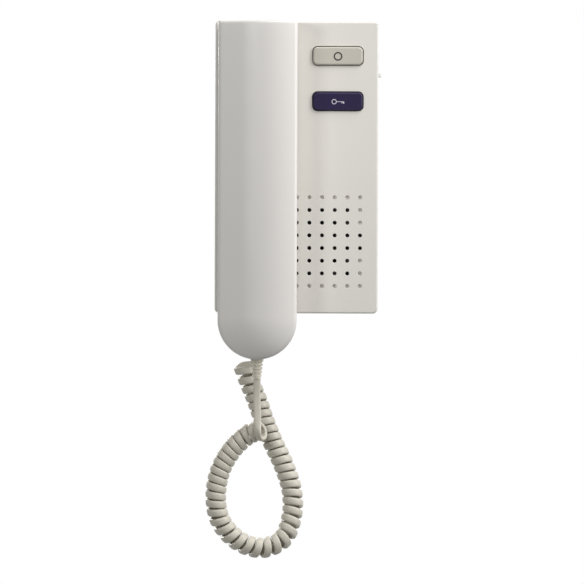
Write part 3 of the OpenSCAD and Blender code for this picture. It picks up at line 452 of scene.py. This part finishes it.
mouth_steps = [(0, BACK_D + MOUTH_LAP), (0, MOUTH_D + MOUTH_ROUND)]
mouth_steps += [(inset, MOUTH_D + drop) for inset, drop in round_over(MOUTH_ROUND)[1:]]
mouth_loops = [at_depth(mouth_loop(inset, d), d) for inset, d in mouth_steps]
mic = circle(MIC_R, HAND_X, MIC_Z, SMALL_STEPS)
mouth_points, mouth_triangles = pierced(mouth_loop(*mouth_steps[-1]), [mic])
mouth = [stack(mouth_loops, first=True), (at_depth(mouth_points, MOUTH_D), mouth_triangles),
         straight_wall(mic, (MOUTH_D, MOUTH_D + SHELL_T))]
handset_back = new_piece("handset_back", *tray, *cup, *mouth)
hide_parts("handset_back_shell")

# %% [markdown]
# ## The wall unit's cover
# The cover is a moulded box, open at the wall, with rounded edges. Its front has two key windows, the sound
# holes and the tilted well for the ear cup; its right side has the slide's slot, and its bottom the cord's
# hole and a screw. A boolean could cut all this from a block, but pierced faces keep the edges clean: the
# outer skin, the inner skin and the walls of every hole are sheets that share their loops.

# %% Loops of the cover and its openings
BASE_W, BASE_H, BASE_D, WALL, RIM_D = 97.8, 175, 25, 2.2, 0.5
LOW_R, TOP_R, FILLET, INNER_D = 3, 1.4, 1, BASE_D - WALL
KEY_X, KEY_ZS, KEY_W, KEY_H, KEY_R, KEY_GAP = 24.65, (67, 39.8), 29.7, 10.7, 2.6, 0.6
GRILLE_X, GRILLE_Z, GRILLE_N, PITCH = 11.6, -44.5, 8, 7.6
HOLE_R, DIMPLE, CHAMFER = 1.2, 1.2, 0.15
WELL_R, WELL_S = 19.6, 8
CORNERS, CORNER_STEPS = np.array([LOW_R, TOP_R, TOP_R, LOW_R]), 8


def rounded_rect(w, h, r, cx=0, cz=0, steps=CORNER_STEPS):
    """Loop of a rectangle with round corners: four quarter circles, anticlockwise from the bottom right,
    whose ends are joined by the straight sides; the radius is one number, or one for each corner."""
    r = np.broadcast_to(np.asarray(r, float), 4)[:, None]
    a = np.radians(np.linspace(-90, 0, steps + 1))[None] + np.radians([0, 90, 180, 270])[:, None]
    sx, sz = np.array([1, 1, -1, -1])[:, None], np.array([-1, 1, 1, -1])[:, None]
    loop = np.stack([cx + sx * (w / 2 - r) + r * np.cos(a), cz + sz * (h / 2 - r) + r * np.sin(a)], -1)
    return loop.reshape(-1, 2)


def cover_loop(inset, d):
    """Outline of the cover, drawn in by an inset, at a depth."""
    return at_depth(rounded_rect(BASE_W - 2 * inset, BASE_H - 2 * inset, CORNERS - inset), d)


def key_outline(z, grow=0):
    """Outline of a key, grown by a margin."""
    return rounded_rect(KEY_W + 2 * grow, KEY_H + 2 * grow, KEY_R + grow, KEY_X, z)


def holes(r, chosen):
    """Loops of the chosen sound holes, all at one radius."""
    return [circle(r, cx, cz, SMALL_STEPS) for cx, cz in centres[chosen]]


def well_loop(r, d):
    """Where the well's tilted cylinder meets the plane at a depth: for each angle, the distance down the
    axis that brings the point to that depth."""
    loop = circle(r, steps=EAR_STEPS)
    return on_ear_axis(loop, (BASE_D - d + loop[:, 1] * math.sin(TILT)) / math.cos(TILT))


rows, cols = (k.ravel() for k in np.meshgrid(np.arange(GRILLE_N), np.arange(GRILLE_N), indexing="ij"))
edge, centre = GRILLE_N - 1, (GRILLE_N - 1) / 2
within = (rows > 0) & (rows < edge) & (cols > 0) & (cols < edge)
is_open = within | ((np.abs(rows - centre) < 1) & np.isin(cols, (0, edge)))
centres = np.stack([GRILLE_X + (cols - centre) * PITCH, GRILLE_Z + (rows - centre) * PITCH], 1)
print(f"{is_open.sum()} open and {(~is_open).sum()} blind sound holes")

# %% Outer skin, inner skin and the walls of the holes
WELL_CHAMFER = 0.35
fillet = [cover_loop(inset, BASE_D - drop) for inset, drop in round_over(FILLET)]
rim = cover_loop(0, RIM_D)
inner_rect = rounded_rect(BASE_W - 2 * WALL, BASE_H - 2 * WALL, CORNERS - WALL / 2)
inner_rim, inner_top = at_depth(inner_rect, RIM_D), at_depth(inner_rect, INNER_D)
well_rim = well_loop(WELL_R + WELL_CHAMFER, BASE_D)
well_back = well_loop(WELL_R + WALL, INNER_D)
windows = [key_outline(z, KEY_GAP) for z in KEY_ZS]
grown_windows = [key_outline(z, KEY_GAP + CHAMFER) for z in KEY_ZS]
every_hole = holes(HOLE_R + CHAMFER, slice(None))
front_points, front_faces = pierced(
    fillet[-1][:, [0, 2]], grown_windows + every_hole + [well_rim[:, [0, 2]]])
back_points, back_faces = pierced(
    inner_rect, windows + holes(HOLE_R, is_open) + [well_back[:, [0, 2]]])
sheets = [stack(fillet), (at_depth(front_points, BASE_D), front_faces), stack([rim, inner_rim]),
          (at_depth(back_points, INNER_D), back_faces)]


def opening(grown, plain, end_d, closed=False):
    """Wall of a hole in the front: a small chamfer from the grown loop to the plain one, then straight to a
    depth, where it may be closed."""
    return stack([at_depth(grown, BASE_D), at_depth(plain, BASE_D - CHAMFER), at_depth(plain, end_d)],
                 last=closed)


sheets += [opening(*loops, INNER_D) for loops in zip(grown_windows, windows)]
sheets += [opening(*loops, INNER_D)
           for loops in zip(holes(HOLE_R + CHAMFER, is_open), holes(HOLE_R, is_open))]
sheets += [opening(*loops, BASE_D - DIMPLE, closed=True)
           for loops in zip(holes(HOLE_R + CHAMFER, ~is_open), holes(HOLE_R, ~is_open))]
print(len(sheets), "sheets in the cover's front")

# %% Ear well with the lever's slot
WELL_ROUND = 0.8
LEVER_SLOT_W, LEVER_SLOT_H, LEVER_SLOT_R, LEVER_SLOT_DOWN = 9, 12, 0.8, 10
lever_slot = rounded_rect(LEVER_SLOT_W, LEVER_SLOT_H, LEVER_SLOT_R, 0, LEVER_SLOT_DOWN)
well_floor = [ear_circle(WELL_R - inset, WELL_S - drop) for inset, drop in round_over(WELL_ROUND)]
inside_points, inside_faces = pierced(circle(WELL_R - WELL_ROUND, steps=EAR_STEPS), [lever_slot])
outside_points, outside_faces = pierced(circle(WELL_R + WALL, steps=EAR_STEPS), [lever_slot])
sheets += [stack([well_rim, well_loop(WELL_R, BASE_D - WELL_CHAMFER)] + well_floor),
           (on_ear_axis(inside_points, WELL_S), inside_faces),
           (on_ear_axis(outside_points, WELL_S + WALL), outside_faces),
           stack([on_ear_axis(lever_slot, WELL_S), on_ear_axis(lever_slot, WELL_S + WALL)]),
           stack([well_back, ear_circle(WELL_R + WALL, WELL_S + WALL)])]
print(len(sheets), "sheets with the well")

# %% Side walls, with the slide's slot and the bottom's holes
NUB_D, NUB_Z = 11.6, 56
NUB_SLOT_W, NUB_SLOT_H, NUB_SLOT_R = 3.2, 8.6, 0.4
CORD_HOLE_R, CORD_HOLE_D = 3.45, 7.2
COVER_SCREW_X, COVER_SCREW_D, COVER_SCREW_DEEP = 24.1, 8, 3
per_corner = CORNER_STEPS + 1
plain_sides = ~np.isin(np.arange(4 * per_corner), (CORNER_STEPS, 4 * per_corner - 1))
for loops in ([rim, fillet[0]], [inner_rim, inner_top]):
    points, faces = stack(loops)
    sheets.append((points, [face for face, plain in zip(faces, plain_sides) if plain]))
nub_slot = rounded_rect(NUB_SLOT_W, NUB_SLOT_H, NUB_SLOT_R, NUB_D, NUB_Z)
cord_hole = circle(CORD_HOLE_R, HAND_X, CORD_HOLE_D)
screw_hole = circle(SCREW_R, COVER_SCREW_X, COVER_SCREW_D)


def at_side(loop, x):
    """A flat loop of depth and Z set at an X."""
    return place(x, loop[:, 0], loop[:, 1])


def at_height(loop, z):
    """A flat loop of X and depth set at a Z."""
    return place(loop[:, 0], loop[:, 1], z)


def border(low, high):
    """Rectangle between two corners, anticlockwise from the low one."""
    return np.array([low, (high[0], low[1]), high, (low[0], high[1])], float)


def side_sheet(x, depths, heights):
    """A face of the cover's right side, pierced by the slide's slot."""
    points, faces = pierced(border((depths[0], heights[0]), (depths[1], heights[1])), [nub_slot])
    return at_side(points, x), faces


def bottom_sheet(z, depths, x_half, loops):
    """A pierced face of the cover's bottom, drawn in X and depth."""
    points, faces = pierced(border((-x_half, depths[0]), (x_half, depths[1])), loops)
    return at_height(points, z), faces


outer_depths, inner_depths = (RIM_D, BASE_D - FILLET), (RIM_D, INNER_D)
outer_heights = (LOW_R - BASE_H / 2, BASE_H / 2 - TOP_R)
inner_heights = (WALL / 2 + LOW_R - BASE_H / 2, BASE_H / 2 - TOP_R - WALL / 2)
sheets += [side_sheet(BASE_W / 2, outer_depths, outer_heights),
           side_sheet(BASE_W / 2 - WALL, inner_depths, inner_heights),
           bottom_sheet(BOTTOM, outer_depths, BASE_W / 2 - LOW_R, [cord_hole, screw_hole]),
           bottom_sheet(BOTTOM + WALL, inner_depths, BASE_W / 2 - WALL / 2 - LOW_R, [cord_hole]),
           stack([at_side(nub_slot, x) for x in (BASE_W / 2, BASE_W / 2 - WALL)]),
           stack([at_height(cord_hole, z) for z in (BOTTOM, BOTTOM + WALL)]),
           stack([at_height(screw_hole, z) for z in (BOTTOM, BOTTOM + COVER_SCREW_DEEP)], last=True)]
cover = new_piece("cover", *sheets, sharp=40)
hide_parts("front_cover")

# %% [markdown]
# ## Keys and their signs
# Each key is a moulded cap that stands 1.4 mm proud in its window, with a rounded edge, a flange that keeps
# it in, and a stem that works a switch. The signs are printed: a ring for the light and a key for the door.
# A print could be painted by a shader, but thin sheets on the cap stay crisp at any size.

# %% Key caps
KEY_FACE, KEY_ROUND, CAP_ROOT = 26.4, 0.9, 0.7
FLANGE_D, FLANGE_T, FLANGE_OUT = 22.5, 1.5, 1.4
STEM_R, STEM_END, STEM_LAP = 1.7, 12.6, 1


def key_cap(name, z):
    """Outlines of the key from the flange to the face, the last ones drawn in along a quarter circle, a
    wider outline for the flange, and a round stem behind."""
    levels = [(0, FLANGE_D - CAP_ROOT)]
    levels += [(inset, KEY_FACE - drop) for inset, drop in round_over(KEY_ROUND)]
    cap = stack([at_depth(key_outline(z, -inset), d) for inset, d in levels], first=True, last=True)
    flange_depths, stem_depths = (FLANGE_D - FLANGE_T, FLANGE_D), (STEM_END, FLANGE_D - STEM_LAP)
    flange = straight_wall(key_outline(z, FLANGE_OUT), flange_depths, first=True, last=True)
    stem = straight_wall(circle(STEM_R, KEY_X, z, SMALL_STEPS), stem_depths, first=True, last=True)
    return new_piece(name, cap, flange, stem)


light_key = key_cap("light_key_cap", KEY_ZS[0])
door_key = key_cap("door_key_cap", KEY_ZS[1])
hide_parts("light_button")
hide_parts("door_button")

# %% Printed signs
INK, SIGN_DROP, BAR_R, BAR_STEPS = 0.04, 0.25, 0.12, 3
RING_R, RING_STROKE, RING_STEPS = 2.65, 0.85, 64
BOW_LEFT, BOW_R, BOW_STROKE = 2.2, 1.5, 0.35
SHAFT_L, SHAFT_HALF, SHAFT_LAP = 6, 0.16, 0.2
TEETH = ((1.6, 1.1, 1), (0.7, 0, 1.2))


def printed(name, *sheets_2d):
    """Flat sheets of ink that lie on a key's face."""
    return new_piece(name, *[(at_depth(points, KEY_FACE + INK), faces) for points, faces in sheets_2d])


def ring(r, stroke, cx, cz):
    """Flat ring between two circles."""
    return pierced(circle(r, cx, cz, RING_STEPS), [circle(r - stroke, cx, cz, RING_STEPS)])


def bar(x0, x1, z0, z1):
    """Flat bar with small round corners."""
    return pierced(rounded_rect(x1 - x0, z1 - z0, BAR_R, (x0 + x1) / 2, (z0 + z1) / 2, BAR_STEPS), [])


light_sign = printed("light_sign", ring(RING_R, RING_STROKE, KEY_X, KEY_ZS[0] - SIGN_DROP))
bow, shaft = KEY_X - BOW_LEFT, KEY_ZS[1] - SIGN_DROP
tip = bow + SHAFT_L
teeth = [bar(tip - start, tip - end, shaft - deep, shaft) for start, end, deep in TEETH]
door_sign = printed("door_sign", ring(BOW_R, BOW_STROKE, bow, shaft),
                    bar(bow + BOW_R - SHAFT_LAP, tip, shaft - SHAFT_HALF, shaft + SHAFT_HALF), *teeth)

# %% [markdown]
# ## Boot and slide
# The boot keeps the cord from breaking where it enters the handset: a tapered rubber sleeve with short slots
# on both sides of a spine, so that it bends evenly. It could be turned and then cut, but as a surface it is
# simply a radius over angle and height. The slide is a small rounded nub that a finger moves, on a plate
# inside the cover.

# %% Slotted boot
BOOT_TOP, BOOT_LOW, BOOT_AXIS = -115.009, -127.009, (-23.3, 31)
BOOT_LOW_R, BOOT_TOP_R, BOOT_STEPS, BOOT_ROWS = 2.5, 3.9, 120, 181
SLOT_PITCH, SLOT_START, SLOT_LAST, SLOT_HALF, SLOT_SOFT = 2.2, 0.46, 4, 0.45, 0.2
SLOT_DEEP, SLOT_EASE, SPINE_HALF, SPINE_SOFT = 0.45, 0.25, 0.3, 0.25
LIP_IN, LIP_L = 0.25, 0.35
BOOT_STEM_R, BOOT_STEM_LAP, BOOT_STEM_L = 2.6, 1, 5


def smooth_box(v, half, soft):
    """1 inside a band, 0 outside, with a soft step of a given width at each side."""
    return np.clip((half + soft / 2 - np.abs(v)) / soft, 0, 1)


angle = np.linspace(0, 2 * np.pi, BOOT_STEPS, endpoint=False)[None]
height = np.linspace(BOOT_LOW, BOOT_TOP, BOOT_ROWS)[:, None]
taper = BOOT_LOW_R + (BOOT_TOP_R - BOOT_LOW_R) * (height - BOOT_LOW) / (BOOT_TOP - BOOT_LOW)
side = np.cos(angle)
level = (height - BOOT_LOW) / SLOT_PITCH - SLOT_START
row = np.round(level)
slots = smooth_box((level - row) * SLOT_PITCH, SLOT_HALF, SLOT_SOFT) * (row >= 0) * (row <= SLOT_LAST)
slots = slots * np.clip((np.abs(side) * taper - SPINE_HALF) / SPINE_SOFT, 0, 1)
radius = taper * (1 - (SLOT_DEEP - SLOT_EASE * side**2) * slots)
radius = radius - LIP_IN * np.clip((BOOT_LOW + LIP_L - height) / LIP_L, 0, 1)
boot_grid = place(BOOT_AXIS[0] + radius * side, BOOT_AXIS[1] + radius * np.sin(angle), height)
stem_loop = circle(BOOT_STEM_R, *BOOT_AXIS, SMALL_STEPS)
stem_heights = (BOOT_TOP - BOOT_STEM_LAP, BOOT_TOP + BOOT_STEM_L)
boot_stem = stack([at_height(stem_loop, z) for z in stem_heights], first=True, last=True)
boot = new_piece("boot", stack(boot_grid, first=True, last=True), boot_stem, sharp=50)
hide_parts("handset_boot")

# %% Volume slide
NUB_X, NUB_W, NUB_H, NUB_R, NUB_ROUND = (45.6, 50.8), 2.6, 3, 0.7, 0.6
PLATE_X, PLATE_W, PLATE_H, PLATE_R = (44.9, 46.4), 6, 14, 0.4
TONGUE_X, TONGUE_R = (42.9, 45.6), 0.3


def nub_loop(inset, x):
    """Rounded rectangle of the nub, drawn in by an inset, at an X."""
    loop = rounded_rect(NUB_W - 2 * inset, NUB_H - 2 * inset, NUB_R - inset / 2, NUB_D, NUB_Z)
    return at_side(loop, x)


nub_loops = [nub_loop(0, NUB_X[0])]
nub_loops += [nub_loop(inset, NUB_X[1] - drop) for inset, drop in round_over(NUB_ROUND)]
plate_loop = rounded_rect(PLATE_W, PLATE_H, PLATE_R, NUB_D, NUB_Z)
tongue_loop = rounded_rect(NUB_W, NUB_H, TONGUE_R, NUB_D, NUB_Z)
plate, tongue = (stack([at_side(loop, x) for x in xs], first=True, last=True)
                 for loop, xs in ((plate_loop, PLATE_X), (tongue_loop, TONGUE_X)))
slide = new_piece("slide", stack(nub_loops, first=True, last=True), plate, tongue)
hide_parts("volume_slider")

# %% Bodies of the new pieces, with their slots listed but not set
for piece, body, slot in (
        (handset_front, "handset", "handset"), (handset_back, "handset", "handset"),
        (boot, "handset", "cord"), (cover, "base", "case"), (slide, "volume", "case"),
        (light_key, "light_key", "key_grey"), (light_sign, "light_key", "key_grey"),
        (door_key, "door_key", "key_violet"), (door_sign, "door_key", "key_violet")):
    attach(piece, body)
    print(f"{piece.name} rides on {body}")
for piece in (cover, light_key, door_key, handset_back, slide):
    weighted = piece.modifiers.new("flat faces", "WEIGHTED_NORMAL")
    weighted.keep_sharp = True

# %% [markdown]
# ## Finishes
# Moulded plastic is never one flat colour. Its mould was etched, which gives a fine grain, its tone drifts a
# little over a large face, and hands leave its gloss uneven. A picture could give that, but shader groups
# work at any size: each plastic places them with its own values. The wall unit has a clear grain, the
# handset a smooth satin, and the cord a soft jacket.

# %% Shared effects as node groups
def node(tree, kind, inputs=None, **settings):
    """Adds a node, sets its properties, and feeds its inputs with plain values or other nodes' outputs."""
    made = tree.nodes.new(kind)
    for key, value in settings.items():
        setattr(made, key, value)
    for key, value in (inputs or {}).items():
        if isinstance(value, bpy.types.NodeSocket):
            tree.links.new(value, made.inputs[key])
        else:
            made.inputs[key].default_value = value
    return made


def effect(name, inputs, outputs):
    """An empty node group with named number sockets; gives the tree, its inputs and its output node."""
    tree = bpy.data.node_groups.new(name, "ShaderNodeTree")
    for key, value in inputs.items():
        tree.interface.new_socket(key, in_out="INPUT", socket_type="NodeSocketFloat").default_value = value
    for key in outputs:
        tree.interface.new_socket(key, in_out="OUTPUT", socket_type="NodeSocketFloat")
    return tree, tree.nodes.new("NodeGroupInput").outputs, tree.nodes.new("NodeGroupOutput")


def noise(tree, where, scale, **values):
    """Noise at a place and a scale; gives its grey value."""
    return node(tree, "ShaderNodeTexNoise", {"Vector": where, "Scale": scale, **values}).outputs["Fac"]


grain, given, out = effect(
    "moulded_grain", {"Pits per metre": 2200, "Drift per metre": 18}, ["Height", "Tone"])
where = node(grain, "ShaderNodeTexCoord").outputs["Object"]
pits = noise(grain, where, given["Pits per metre"], Detail=2.5, Roughness=0.6)
drift = noise(grain, where, given["Drift per metre"], Detail=3)
grain.links.new(pits, out.inputs["Height"])
mixed = node(grain, "ShaderNodeMath", {0: pits, 1: drift}, operation="ADD")
half_sum = node(grain, "ShaderNodeMath", {0: mixed.outputs[0], 1: 0.5}, operation="MULTIPLY")
grain.links.new(half_sum.outputs[0], out.inputs["Tone"])

smear, given, out = effect(
    "handling_smear", {"Patches per metre": 30, "Streaks per metre": 500}, ["Gloss"])
where = node(smear, "ShaderNodeTexCoord").outputs["Object"]
patches = noise(smear, where, given["Patches per metre"], Detail=4)
turned = node(smear, "ShaderNodeMapping",
              {"Vector": where, "Rotation": (0.3, 0.5, 0.2), "Scale": (1, 1, 0.06)})
streaks = noise(smear, turned.outputs[0], given["Streaks per metre"], Detail=3)
lines = node(smear, "ShaderNodeMapRange",
             {"Value": streaks, "From Min": 0.55, "From Max": 0.8, "To Max": 0.35})
total = node(smear, "ShaderNodeMath", {0: patches, 1: lines.outputs[0]}, operation="ADD")
smear.links.new(total.outputs[0], out.inputs["Gloss"])
print("effects:", [g.name for g in bpy.data.node_groups])

# %% Plastics, rubber and print
# Places of the two colour inputs and of the colour output among a Mix node's sockets
MIX_FIRST, MIX_SECOND, MIX_RESULT = 6, 7, 2
finish = {}


def material(name):
    """A new material and its tree with a Principled shader and an output."""
    made = bpy.data.materials.new(name)
    made.use_nodes = True
    finish[name] = made
    return made.node_tree, made.node_tree.nodes["Principled BSDF"]


def use(tree, group, values):
    """Places an effect in a material with its own values."""
    made = node(tree, "ShaderNodeGroup", node_tree=group)
    for key, value in values.items():
        made.inputs[key].default_value = value
    return made.outputs


def moulded(name, colour, spread, rough, pits, depth):
    """Plastic or rubber: the colour drifts by a share of itself, the roughness runs between two values, and
    the grain has a real depth."""
    tree, shader = material(name)
    grained = use(tree, grain, {"Pits per metre": pits})
    handled = use(tree, smear, {})
    darker = [c * (1 - spread) for c in colour] + [1]
    lighter = [c * (1 + spread) for c in colour] + [1]
    tone = node(tree, "ShaderNodeMix", {"Factor": grained["Tone"], MIX_FIRST: darker, MIX_SECOND: lighter},
                data_type="RGBA")
    gloss = node(tree, "ShaderNodeMapRange", {"Value": handled["Gloss"], "From Min": 0.3, "From Max": 1.0,
                                              "To Min": rough[0], "To Max": rough[1]})
    bump = node(tree, "ShaderNodeBump", {"Height": grained["Height"], "Distance": depth * MM, "Strength": 1})
    tree.links.new(tone.outputs[MIX_RESULT], shader.inputs["Base Color"])
    tree.links.new(gloss.outputs[0], shader.inputs["Roughness"])
    tree.links.new(bump.outputs[0], shader.inputs["Normal"])
    return shader


moulded("case_plastic", (0.665, 0.645, 0.6), 0.05, (0.48, 0.66), 2000, 0.02)
moulded("handset_plastic", (0.70, 0.678, 0.648), 0.025, (0.34, 0.5), 3000, 0.004)
moulded("key_grey_plastic", (0.475, 0.45, 0.39), 0.03, (0.16, 0.28), 2600, 0.003)
violet = moulded("key_violet_plastic", (0.014, 0.0066, 0.043), 0.06, (0.16, 0.28), 2600, 0.003)
violet.inputs["Specular IOR Level"].default_value = 0.25
moulded("dark_print", (0.02, 0.02, 0.018), 0.1, (0.5, 0.6), 4000, 0.003)
moulded("white_print", (0.62, 0.6, 0.66), 0.03, (0.45, 0.55), 4000, 0.003)
moulded("cord_jacket", (0.56, 0.53, 0.45), 0.06, (0.4, 0.6), 1500, 0.012)
# The boot is far lighter than the cord's jacket: painted light that makes up for the shade under the
# handset's nose.
moulded("boot_rubber_painted_light", (0.74, 0.705, 0.6), 0.06, (0.45, 0.65), 1800, 0.012)
moulded("slide_plastic", (0.72, 0.72, 0.7), 0.03, (0.4, 0.55), 2600, 0.006)
moulded("black_plastic", (0.018, 0.018, 0.02), 0.2, (0.45, 0.7), 2500, 0.01)
moulded("terminal_plastic", (0.05, 0.21, 0.1), 0.1, (0.45, 0.6), 2500, 0.008)
moulded("dark_rubber", (0.03, 0.03, 0.03), 0.2, (0.65, 0.85), 1800, 0.02)
moulded("pressed_paper", (0.016, 0.016, 0.016), 0.3, (0.75, 0.9), 1400, 0.04)
moulded("board_lacquer", (0.025, 0.12, 0.05), 0.15, (0.25, 0.4), 900, 0.01)
print(len(finish), "plastics, rubbers and prints")

# %% Metals
METAL_SPREAD = 0.08


def metal(name, colour, rough, pits, depth):
    """Plated or cast metal: a drifting tone, uneven gloss and a shallow grain."""
    moulded(name, colour, METAL_SPREAD, rough, pits, depth).inputs["Metallic"].default_value = 1


metal("zinc_steel", (0.62, 0.63, 0.65), (0.22, 0.42), 1800, 0.006)
metal("magnet_iron", (0.14, 0.14, 0.15), (0.4, 0.6), 1500, 0.02)
print(len(finish), "finishes")

# %% Every piece gets its finish
by_slot = {"case": "case_plastic", "handset": "handset_plastic", "key_grey": "key_grey_plastic",
           "key_violet": "key_violet_plastic", "dark_plastic": "black_plastic", "board": "board_lacquer",
           "terminal": "terminal_plastic", "steel": "zinc_steel", "magnet": "magnet_iron",
           "paper": "pressed_paper", "dark_rubber": "dark_rubber", "cord": "cord_jacket"}


def dress(piece, name):
    """One finish on the whole piece."""
    piece.data.materials.clear()
    piece.data.materials.append(finish[name])


for part in frame["record"]["subparts"]:
    dress(frame["nodes"][part["node"]], by_slot[part["material_slot"]])
for piece, name in (
        (handset_front, "handset_plastic"), (handset_back, "handset_plastic"), (boot, "boot_rubber_painted_light"),
        (cover, "case_plastic"), (slide, "slide_plastic"), (light_key, "key_grey_plastic"),
        (door_key, "key_violet_plastic"), (light_sign, "dark_print"), (door_sign, "white_print"),
        *((c, "cord_jacket") for c in cords.values())):
    dress(piece, name)

# %% [markdown]
# ## Light, floor and background
# The picture has a white background and soft light. Most of it comes from the right, low and high: it makes
# the handset's arch grow brighter to the right and leaves the nose in shade. A weak light from the left
# casts the handset's faint shadow on the wall unit beside it, and one from behind serves the views of the
# back and the sides. A picture of a studio could light the scene, but four soft boxes and a grey world are
# easier to steer. The camera and mirrors see the world white, so the background costs the object no
# contrast. A pale floor lies well below, and only shows from above.

# %% Lamps and world
scene = bpy.context.scene
scene.view_settings.view_transform = "Standard"
WORLD_GREY = 0.23


def area_lamp(name, watts, wide, tall, to_right, up, away):
    """A soft box that faces the origin, from an angle to the viewer's right and an angle up, both in
    degrees, and a distance in metres."""
    lamp = bpy.data.lights.new(name, "AREA")
    lamp.shape = "RECTANGLE"
    lamp.energy, lamp.size, lamp.size_y = watts, wide, tall
    made = bpy.data.objects.new(name, lamp)
    right, high = math.radians(to_right), math.radians(up)
    ray = Vector((math.sin(right) * math.cos(high), -math.cos(right) * math.cos(high), math.sin(high)))
    made.location = ray * away
    made.rotation_euler = (-ray).to_track_quat("-Z", "Y").to_euler()
    scene.collection.objects.link(made)
    print(f"{name}: {watts} W, {away} m away")


area_lamp("right_light", watts=12.4, wide=0.3, tall=1.1, to_right=65, up=24, away=1.2)
area_lamp("high_light", watts=5.8, wide=0.9, tall=0.3, to_right=40, up=62, away=0.9)
area_lamp("left_light", watts=3.6, wide=0.3, tall=0.3, to_right=-35, up=10, away=1.3)
area_lamp("back_light", watts=9, wide=0.5, tall=0.5, to_right=-155, up=15, away=1.3)


def background_rays(tree):
    """1 on the rays that meet the background as such: from the camera, off mirrors or through glass."""
    rays = node(tree, "ShaderNodeLightPath").outputs
    seen = node(tree, "ShaderNodeMath", {0: rays["Is Camera Ray"], 1: rays["Is Glossy Ray"]},
                operation="ADD")
    return node(tree, "ShaderNodeMath", {0: seen.outputs[0], 1: rays["Is Transmission Ray"]},
                operation="ADD", use_clamp=True).outputs[0]


world = bpy.data.worlds.new("studio")
world.use_nodes = True
scene.world = world
tree = world.node_tree
dim = node(tree, "ShaderNodeBackground", {"Color": (WORLD_GREY, WORLD_GREY, WORLD_GREY, 1), "Strength": 1})
white = node(tree, "ShaderNodeBackground", {"Color": (1, 1, 1, 1), "Strength": 1})
both = node(tree, "ShaderNodeMixShader", {0: background_rays(tree), 1: dim.outputs[0], 2: white.outputs[0]})
tree.links.new(both.outputs[0], tree.nodes["World Output"].inputs["Surface"])

# %% Pale floor
FLOOR_Z, FLOOR_HALF, FLOOR_GREY, FLOOR_ROUGH, FLOOR_GLOW = -520, 500, 0.8, 0.8, 0.3
floor_x, floor_y = np.meshgrid([-FLOOR_HALF, FLOOR_HALF], [FLOOR_HALF, -FLOOR_HALF], indexing="ij")
floor = new_piece("floor", skin(place(floor_x, floor_y, FLOOR_Z)))
if floor.data.polygons[0].normal.z < 0:
    floor.data.flip_normals()
tree, shader = material("pale_floor")
shader.inputs["Base Color"].default_value = (FLOOR_GREY, FLOOR_GREY, FLOOR_GREY, 1)
shader.inputs["Roughness"].default_value = FLOOR_ROUGH
shader.inputs["Emission Color"].default_value = (1, 1, 1, 1)
shader.inputs["Emission Strength"].default_value = FLOOR_GLOW
from_below = node(tree, "ShaderNodeNewGeometry").outputs["Backfacing"]
shown = node(tree, "ShaderNodeMath", {0: background_rays(tree), 1: from_below},
             operation="SUBTRACT", use_clamp=True)
clear = node(tree, "ShaderNodeBsdfTransparent")
one_sided = node(tree, "ShaderNodeMixShader",
                 {0: shown.outputs[0], 1: clear.outputs[0], 2: shader.outputs[0]})
tree.links.new(one_sided.outputs[0], tree.nodes["Material Output"].inputs["Surface"])
dress(floor, "pale_floor")
